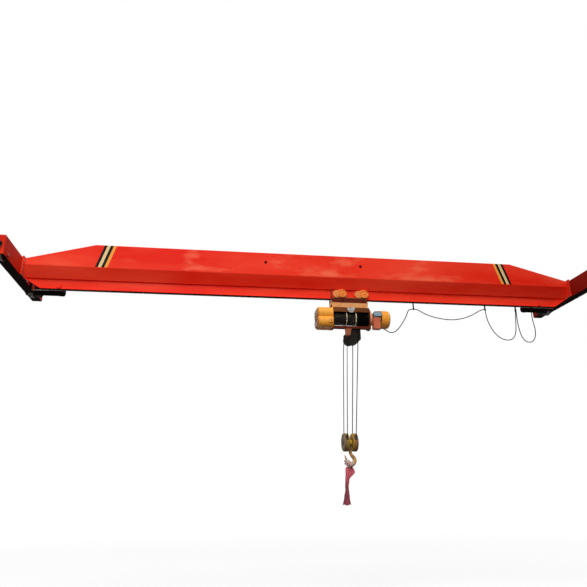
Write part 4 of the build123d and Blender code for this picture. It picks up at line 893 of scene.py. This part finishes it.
def onHoist(x, y=0.0, z=0.0):
    # a place measured from mid-span and from the axis of drum, housing and motor
    return at(x, y, hoistParts["axisZ"] + z)


def dressHousing():
    h = hoistParts
    bm = bmesh.new()
    boltCircle(bm, onHoist(h["housingFace"]), (-1, 0, 0), 0.100, 8, 0.010, start=0.2)
    for z in (h["lobeTop"], h["lobeBottom"]):
        for y in (-h["lobeY"], h["lobeY"]):
            for turn in (-0.95, 0.0, 0.95):
                angle = math.atan2(z, y) + turn
                addBolt(bm, onHoist(h["lobeFace"], y + h["lobeBolts"] * math.cos(angle),
                                    z + h["lobeBolts"] * math.sin(angle)), (-1, 0, 0), 0.0095)
    addDisc(bm, at(*h["inspection"]), (0, -1, 0), 0.020, 0.016, sides=6, edge=0.003)
    boltCircle(bm, at(*h["inspection"]), (0, -1, 0), 0.044, 6, 0.007)
    finishPiece("housingBolts", bm, boltSteel, "trolley")
    bm = bmesh.new()
    addRing(bm, onHoist(h["housingFace"] - 0.0005), (-1, 0, 0),
            [(0.062, -0.001), (0.076, -0.001), (0.076, 0.004), (0.074, 0.007), (0.064, 0.007),
             (0.062, 0.004)])
    addDisc(bm, onHoist(h["housingFace"]), (-1, 0, 0), 0.040, 0.012, sides=32, edge=0.004)
    for n in range(h["ribs"]):
        # stiffening ribs along the lower lobes
        for y in (-h["lobeY"], h["lobeY"]):
            addRing(bm, onHoist(h["ribX"] + h["ribStep"] * n, y, h["lobeBottom"]), (1, 0, 0),
                    [(0.150, 0.0), (0.1670, 0.0015), (0.1685, 0.006), (0.1670, 0.0105), (0.150, 0.012)], 40)
    finishPiece("housingRibs", bm, hoistYellow, "trolley")
    bm = bmesh.new()
    for place, up, radius, height, sides in (
            ((0.30, -0.03, -0.489), 1, 0.018, 0.016, 6), ((0.30, -0.03, -0.475), 1, 0.010, 0.020, 16),
            ((0.20, -0.10, -1.034), -1, 0.020, 0.014, 6)):
        addDisc(bm, at(*place), (0, 0, up), radius, height, sides=sides, edge=0.003)
    finishPiece("oilPlugs", bm, boltSteel, "trolley")


def roundAxis(bm, x, count, offset, size):
    # bars of one size, set evenly round the hoist's axis
    for n in range(count):
        bar = Matrix.Translation(onHoist(x)) @ Matrix.Rotation(2 * math.pi * n / count, 4, "X") @ \
            Matrix.Translation(offset) @ Matrix.Diagonal((*size, 1.0))
        bmesh.ops.create_cube(bm, size=1.0, matrix=bar)


def dressMotor():
    h = hoistParts
    bm = bmesh.new()
    boltCircle(bm, onHoist(h["flangeFace"]), (1, 0, 0), 0.205, 12, 0.011, start=0.13)
    boltCircle(bm, onHoist(h["motorEnd"]), (1, 0, 0), 0.176, 8, 0.008, start=0.2)
    finishPiece("motorBolts", bm, boltSteel, "trolley")
    bm = bmesh.new()
    for radius in h["grille"]:
        addRing(bm, onHoist(h["motorEnd"]), (1, 0, 0),
                [(radius, -0.002), (radius + 0.010, -0.002), (radius + 0.010, 0.003),
                 (radius + 0.007, 0.005), (radius + 0.003, 0.005), (radius, 0.003)], 56)
    roundAxis(bm, h["motorEnd"] + 0.001, h["spokes"], (0, 0.09, 0), (0.006, 0.11, 0.010))
    finishPiece("motorGrille", bm, blackEnamel, "trolley")
    bm = bmesh.new()
    for x in h["bodyRings"]:
        addRing(bm, onHoist(x), (1, 0, 0), [(0.230, -0.006), (0.2365, -0.005), (0.2375, 0.0),
                                            (0.2365, 0.005), (0.230, 0.006)], 72)
    roundAxis(bm, h["finX"], h["fins"], (0, 0, h["finRadius"]), (0.176, 0.0055, 0.009))
    finishPiece("motorFins", bm, hoistYellow, "trolley")
    bm = bmesh.new()
    addRing(bm, onHoist(h["flangeX"]), (1, 0, 0),
            [(0.236, 0.0), (0.2415, 0.001), (0.2425, 0.004), (0.2425, 0.035), (0.2415, 0.038),
             (0.236, 0.039)], 72)
    finishPiece("motorFlangeBand", bm, salmonPaint, "trolley")


controlParts = {
    "left": 1.520, "right": 1.726, "top": -0.770, "bottom": -1.085, "front": -0.282,
    "coverFront": -0.276, "coverFrame": ((1.548, -0.733), (1.784, -0.602)),
    "coverScrews": ((1.600, -0.627), (1.732, -0.627), (1.600, -0.708), (1.732, -0.708)),
    "glands": (1.560, 1.605, 1.650), "glandY": -0.225, "cableExit": (1.7262, -0.225, -1.050),
    "elbow": (1.724, -0.255, -0.850), "elbowRadius": 0.011, "elbowBend": 0.042, "elbowRise": 0.076,
}


def addFrame(bm, corners, face, width, height, rounding, segments=4):
    # a rounded lid, or with a width a frame, that stands out from a front face
    (x0, z0), (x1, z1) = corners
    middle = Vector(at((x0 + x1) / 2, face, (z0 + z1) / 2))
    made = bmesh.ops.create_grid(bm, x_segments=1, y_segments=1, size=0.5)["verts"]
    bmesh.ops.transform(bm, verts=made, matrix=Matrix.Translation(middle) @ Matrix.Rotation(
        math.pi / 2, 4, "X") @ Matrix.Diagonal((x1 - x0, z1 - z0, 1.0, 1.0)))
    soften(bm, made, rounding, "VERTICES", segments)
    panel = min(bm.faces, key=lambda f: (f.calc_center_median() - middle).length)
    rim = [panel]
    if width:
        rim = bmesh.ops.inset_region(bm, faces=[panel], thickness=width, use_boundary=True,
                                     use_even_offset=True)["faces"]
        bmesh.ops.delete(bm, geom=[panel], context="FACES_ONLY")
    grown = bmesh.ops.extrude_face_region(bm, geom=rim)["geom"]
    bmesh.ops.translate(bm, verts=vertsIn(grown), vec=(0, -height, 0))


def dressControls():
    c = controlParts

    def edgeFrame(bm, margin, width, height):
        corners = ((c["left"] + margin, c["bottom"] + margin), (c["right"] - margin, c["top"] - margin))
        addFrame(bm, corners, c["front"], width, height, 0.010)

    bm = bmesh.new()
    edgeFrame(bm, 0.008, 0.0, 0.005)
    finishPiece("controlLid", bm, controlRed, "trolley")
    bm = bmesh.new()
    edgeFrame(bm, 0.003, 0.007, 0.003)
    addFrame(bm, c["coverFrame"], c["coverFront"], 0.009, 0.003, 0.048, 8)
    finishPiece("lidGaskets", bm, gasketRubber, "trolley")
    bm = bmesh.new()
    for x in (c["left"] + 0.024, c["right"] - 0.024):
        for z in (c["bottom"] + 0.024, (c["bottom"] + c["top"]) / 2, c["top"] - 0.024):
            addDisc(bm, at(x, c["front"] - 0.004, z), (0, -1, 0), 0.0075, 0.005, sides=16, edge=0.0015)
    for x, z in c["coverScrews"]:
        addDisc(bm, at(x, c["coverFront"], z), (0, -1, 0), 0.0070, 0.005, sides=16, edge=0.0015)
    for x in c["glands"]:
        for drop, radius, sides, edge in ((0.0, 0.016, 6, 0.002), (0.010, 0.012, 20, 0.004)):
            addDisc(bm, at(x, c["glandY"], c["bottom"] - drop), (0, 0, -1), radius, 0.010, sides=sides,
                    edge=edge)
    finishPiece("controlScrews", bm, boltSteel, "trolley")
    bm = bmesh.new()
    start = at(*c["cableExit"])
    addDisc(bm, start, (1, 0, 0), 0.026, 0.010, sides=6, edge=0.002)
    addRing(bm, start, (1, 0, 0), [(0.0125, 0.008), (0.021, 0.008), (0.021, 0.014), (0.0175, 0.018),
                                   (0.0165, 0.030), (0.0160, 0.032), (0.0155, 0.044), (0.0140, 0.048),
                                   (0.0125, 0.048)], 28)
    finishPiece("cableStrainRelief", bm, gasketRubber, "trolley")
    # black conduit elbow from the control box's right side up to the cover's right end
    bm = bmesh.new()
    x, y, z = at(*c["elbow"])
    bend = c["elbowBend"]
    ring, rim = startTube(bm, (x, y, z), (1, 0, 0), c["elbowRadius"], 16)
    bmesh.ops.spin(bm, geom=ring + rim, cent=(x, y, z + bend), axis=(0, 1, 0), angle=-math.pi / 2,
                   steps=12)
    ring = [v for v in bm.verts if abs(v.co.z - (z + bend)) < 0.0001]
    rim = [e for e in bm.edges if all(v in ring for v in e.verts)]
    up = bmesh.ops.extrude_edge_only(bm, edges=rim)["geom"]
    bmesh.ops.translate(bm, verts=vertsIn(up), vec=(0, 0, c["elbowRise"]))
    closeEnds(bm, 20)
    for height in (z + bend, z + bend + 0.062):
        addDisc(bm, (x + bend, y, height), (0, 0, 1), 0.016, 0.012, sides=6, edge=0.002)
    finishPiece("conduitElbow", bm, gasketRubber, "trolley")


ropeTurns = {
    "fallX": 1.160, "pitch": 0.0243, "turns": 11, "radius": 0.0108, "pitchRadius": 0.190,
    "grooveFrom": 0.515, "grooveTurns": 26, "ridgeRadius": 0.1785, "ridgeHeight": 0.004,
}


def windDrum():
    # rope wound on the drum's right half, and the screw of ridges between the bare grooves
    r = ropeTurns

    def screw(bm, geometry, x, turns, stepsPerTurn, sides):
        bmesh.ops.spin(bm, geom=geometry, cent=onHoist(x), axis=(1, 0, 0), angle=-2 * math.pi * turns,
                       steps=stepsPerTurn * turns, dvec=(r["pitch"] / stepsPerTurn, 0, 0))
        closeEnds(bm, sides)

    bm = bmesh.new()
    ring, rim = startTube(bm, onHoist(r["fallX"], -r["pitchRadius"]), (0, 0, 1), r["radius"], 8)
    screw(bm, ring + rim, r["fallX"], r["turns"], 32, 12)
    finishPiece("drumRope", bm, ropeSteel, "rope_drum", sharp=70.0)
    bm = bmesh.new()
    foot, crest = r["ridgeRadius"] - 0.001, r["ridgeRadius"] + r["ridgeHeight"]
    loop = [bm.verts.new(onHoist(r["grooveFrom"] + along, -radius))
            for along, radius in ((0.0, foot), (0.004, crest), (0.008, foot))]
    edges = [bm.edges.new((a, b)) for a, b in zip(loop, loop[1:] + loop[:1])]
    screw(bm, loop + edges, r["grooveFrom"], r["grooveTurns"], 28, 4)
    finishPiece("drumGrooves", bm, drumSteel, "rope_drum", sharp=70.0)


# Hook block details
blockParts = {
    "z": -3.930, "halfSpacing": 0.107, "guardHalf": 0.068, "boltCircle": 0.165, "pinReach": 0.1913,
    "seamRadius": 0.2165, "collarZ": 0.0484, "plateY": 0.0605, "plateBolts": (-0.022, 0.020),
}


def dressBlock():
    b = blockParts
    seam = b["seamRadius"]

    def onBlock(x, y=0.0, z=0.0):
        return (blockX + x, midY + y, b["z"] + z)

    bm = bmesh.new()
    for side in (-1, 1):
        boltCircle(bm, onBlock(side * (b["halfSpacing"] + b["guardHalf"])), (side, 0, 0), b["boltCircle"],
                   6, 0.009, start=0.5)
        addDisc(bm, onBlock(side * b["pinReach"]), (side, 0, 0), 0.030, 0.014, sides=6, edge=0.003)
        addRing(bm, onBlock(side * b["halfSpacing"]), (1, 0, 0),
                [(seam, -0.004), (seam + 0.0014, -0.003), (seam + 0.0014, 0.003), (seam, 0.004)], 64)
    finishPiece("blockBolts", bm, boltSteel, "hook_block")
    bm = bmesh.new()
    addRing(bm, onBlock(0, z=b["collarZ"]), (0, 0, 1),
            [(0.0375, 0.0), (0.056, 0.0), (0.056, 0.006), (0.0375, 0.006)], 36)
    for side in (-1, 1):
        addBox(bm, onBlock(-0.028, side * b["plateY"] - 0.004, -0.036),
               onBlock(0.028, side * b["plateY"] + 0.004, 0.034))
        for z in b["plateBolts"]:
            addBolt(bm, onBlock(0, side * (b["plateY"] + 0.004), z), (0, side, 0), 0.006)
    finishPiece("crossheadPlates", bm, crossheadYellow, "hook_block")


# Cloth on the hook
ribbonStrip = {
    "cut": 0.300, "rows": 120, "columns": 96, "folds": 3, "deepest": 0.0235, "thickness": 0.0022,
    "stations": ((0.0, 0.700, 0.800), (0.030, 0.678, 0.880), (0.110, 0.676, 0.912),
                 (0.300, 0.664, 0.765), (0.500, 0.650, 0.735), (0.700, 0.612, 0.748),
                 (0.866, 0.577, 0.776)),
    "top": -4.5036, "hemWave": 0.010, "hemFrom": 0.03,
}
ribbonKnot = {
    "radius": 0.066, "tube": 0.022, "turns": 6, "from": 188.0, "step": 23.0, "bowlRadius": 0.100,
    "bowlZ": -4.352, "wrinkle": 0.0034,
}


def stationAt(drop):
    # left and right edge of the hanging strip at a distance below its top
    stations = ribbonStrip["stations"]
    for (d0, l0, r0), (d1, l1, r1) in zip(stations, stations[1:]):
        if drop <= d1:
            t = smoothStep((drop - d0) / (d1 - d0))
            return l0 + t * (l1 - l0), r0 + t * (r1 - r0)
    return stations[-1][1:]


def foldHeight(width):
    # depth of the folds that uses up the cloth's own width in a narrower strip
    def clothWidth(depth):
        wave = [Vector((width * n / 48, depth * math.sin(2 * math.pi * ribbonStrip["folds"] * n / 48)))
                for n in range(49)]
        return lineLength(wave)

    return valueWhere(clothWidth, ribbonStrip["cut"], 0.06)


def hangRibbon():
    r = ribbonStrip
    length = r["stations"][-1][0]
    bm = bmesh.new()
    grid = bmesh.ops.create_grid(bm, x_segments=r["columns"], y_segments=r["rows"], size=0.5)["verts"]
    folds = {}
    for v in grid:
        drop = round((0.5 - v.co.y) * length, 5)
        if drop not in folds:
            left, right = stationAt(drop)
            folds[drop] = (left, right, foldHeight(right - left))
        left, right, depth = folds[drop]
        across = v.co.x + 0.5
        drift = 0.9 * math.sin(drop * 7.0) + 0.5 * math.sin(drop * 17.0 + 1.0)
        phase = 2 * math.pi * r["folds"] * across + drift
        wander = 0.05 * (right - left) * math.sin(drop * 11.0) * math.sin(math.pi * across)
        swing = math.sin(phase) - 0.12 * math.sin(2 * phase + drop * 5.0)
        v.co = at(left + (right - left) * across + wander, min(depth, r["deepest"]) * swing,
                  r["top"] - drop)
    hemTop = r["top"] - length + r["hemFrom"]
    for v in grid:
        if v.co.z < hemTop:
            along = (v.co.x - midX - r["stations"][-1][1]) / 0.2
            v.co.z += r["hemWave"] * math.sin(9.0 * along) * (hemTop - v.co.z) / r["hemFrom"]
    strip = finishPiece("hookRibbon", bm, ribbonCotton, "hook", sharp=180.0)
    wall = strip.modifiers.new("thickness", "SOLIDIFY")
    wall.thickness = r["thickness"]
    wall.offset = 0.0
    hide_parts("hook_ribbon")
    tieKnot()


def tieKnot():
    # bunched turns of pale cloth round the hook's bowl, from its tip to below the shank
    k = ribbonKnot
    tube = k["tube"]
    bm = bmesh.new()
    for n in range(k["turns"]):
        along = math.radians(k["from"] + k["step"] * n)
        centre = Vector((blockX + k["bowlRadius"] * math.cos(along), midY,
                         k["bowlZ"] + k["bowlRadius"] * math.sin(along)))
        swell = 0.72 + 0.28 * math.sin(math.pi * (n + 0.8) / k["turns"])
        reach = k["radius"] * swell + 0.004 * math.sin(2.1 * n)
        outline = []
        for angle in (0, math.pi / 4, math.pi / 2, math.pi * 3 / 4, math.pi):
            outline += [(reach + 0.42 * tube * math.sin(angle), tube * math.cos(angle))]
        outline += [(reach * 0.5, -tube * 0.8), (reach * 0.5, tube * 0.8)]
        addRing(bm, centre, (-math.sin(along), 0.12 * math.sin(3 * n), math.cos(along)), outline, 44)
    middle = Vector((blockX, midY, k["bowlZ"]))
    for v in bm.verts:
        wave = math.sin(v.co.x * 210 + v.co.z * 90) * math.sin(v.co.y * 170 + v.co.z * 230)
        v.co += (v.co - middle).normalized() * k["wrinkle"] * wave
    return finishPiece("ribbonKnot", bm, paleCotton, "hook", sharp=180.0)


boltBridge()
dressTravelDrives()
weldBridge()
dressWire()
print("bridge details made")
dressTrolley()
dressHousing()
dressMotor()
dressControls()
windDrum()
print("trolley and hoist details made")
dressBlock()
hangRibbon()
print("hook block details made")


# Floor, light and camera
stage = {
    "floorZ": -7.6, "floorSize": 400.0, "whiteFrom": 14.0, "whiteAt": 34.0, "whiteNear": 0.55,
    "floor": "#FFFFFF", "bounce": "#4A4643", "worldLow": 0.02, "worldHigh": 0.75,
    "keyPlace": (2.5, -13.0, 5.0), "keyAim": (6.0, 1.0, 0.0), "keySize": 7.0, "keyPower": 1150.0,
    "sunAngle": 30.0, "sunStrength": 1.0, "sunTurn": (38.0, -12.0, 0.0),
}
camera = {
    "place": (4.873, -12.639, -5.290), "yaw": 0.1461, "pitch": 0.3551, "roll": -0.0136,
    "lens": 34.53, "shiftX": 0.0035, "clipEnd": 500.0,
}


def cameraRays(tree):
    # 1 for rays that the camera sees directly, in gloss or through glass
    rays = addNode(tree, "LightPath", {}).node.outputs
    seen = addNode(tree, "Math", {0: rays["Is Camera Ray"], 1: rays["Is Glossy Ray"]}, operation="ADD")
    return addNode(tree, "Math", {0: seen, 1: rays["Is Transmission Ray"]}, operation="ADD",
                   use_clamp=True)


def makeFloor():
    # pale matt floor that fades into the white background, for the camera only
    centre = (midX, midY, stage["floorZ"])
    material, tree, place = newMaterial("paleFloor")
    tree.nodes.remove(tree.nodes["Principled BSDF"])
    seen = cameraRays(tree)
    matt = addNode(tree, "BsdfDiffuse", {
        "Color": coated(tree, stage["bounce"], [(seen, stage["floor"])])})
    centred = addNode(tree, "VectorMath", {0: place, 1: centre}, operation="SUBTRACT")
    distance = addNode(tree, "VectorMath", {0: centred}, "Value", operation="LENGTH")
    faded = addNode(tree, "MapRange", {
        "Value": distance, "From Min": stage["whiteFrom"], "From Max": stage["whiteAt"],
        "To Min": stage["whiteNear"]})
    white = addNode(tree, "Emission", {"Color": (1, 1, 1, 1), "Strength": 1.0})
    mixed = addNode(tree, "MixShader", {0: overlap(tree, faded, seen), 1: matt, 2: white})
    feed(tree, tree.nodes["Material Output"], {"Surface": mixed})
    bm = bmesh.new()
    bmesh.ops.create_grid(bm, x_segments=1, y_segments=1, size=stage["floorSize"] / 2,
                          matrix=Matrix.Translation(centre))
    meshObject("studioFloor", bm, material)


def makeLight():
    world = bpy.data.worlds.new("studio")
    bpy.context.scene.world = world
    world.use_nodes = True
    tree = world.node_tree
    # the surround lights the crane more from above, and the camera sees it white
    height = addNode(tree, "SeparateXYZ", {0: addNode(tree, "TexCoord", {}, "Generated")}, 2)
    level = addNode(tree, "MapRange", {
        "Value": height, "From Min": -0.35, "From Max": 0.8, "To Min": stage["worldLow"],
        "To Max": stage["worldHigh"]})
    soft = addNode(tree, "Background", {"Color": (1, 1, 1, 1), "Strength": level})
    white = addNode(tree, "Background", {"Color": (1, 1, 1, 1), "Strength": 1.0})
    mixed = addNode(tree, "MixShader", {0: cameraRays(tree), 1: soft, 2: white})
    feed(tree, tree.nodes["World Output"], {"Surface": mixed})
    key = bpy.data.lights.new("keyLight", "AREA")
    key.shape = "DISK"
    key.size = stage["keySize"]
    key.energy = stage["keyPower"]
    lamp = newObject("keyLight", key)
    lamp.location = stage["keyPlace"]
    aim = Vector(stage["keyAim"]) - Vector(stage["keyPlace"])
    lamp.rotation_euler = aim.to_track_quat("-Z", "Y").to_euler()
    sun = bpy.data.lights.new("softSun", "SUN")
    sun.angle = math.radians(stage["sunAngle"])
    sun.energy = stage["sunStrength"]
    newObject("softSun", sun).rotation_euler = [math.radians(turn) for turn in stage["sunTurn"]]


def makeCamera():
    data = bpy.data.cameras.new("camera")
    data.lens = camera["lens"]
    data.shift_x = camera["shiftX"]
    data.clip_end = camera["clipEnd"]
    made = newObject("camera", data)
    turn = (Matrix.Rotation(-camera["yaw"], 4, "Z")
            @ Matrix.Rotation(math.pi / 2 + camera["pitch"], 4, "X")
            @ Matrix.Rotation(camera["roll"], 4, "Z"))
    made.matrix_world = Matrix.Translation(camera["place"]) @ turn
    bpy.context.scene.camera = made


makeFloor()
makeLight()
makeCamera()
bpy.context.scene.view_settings.view_transform = "Standard"
print("floor, light and camera made")
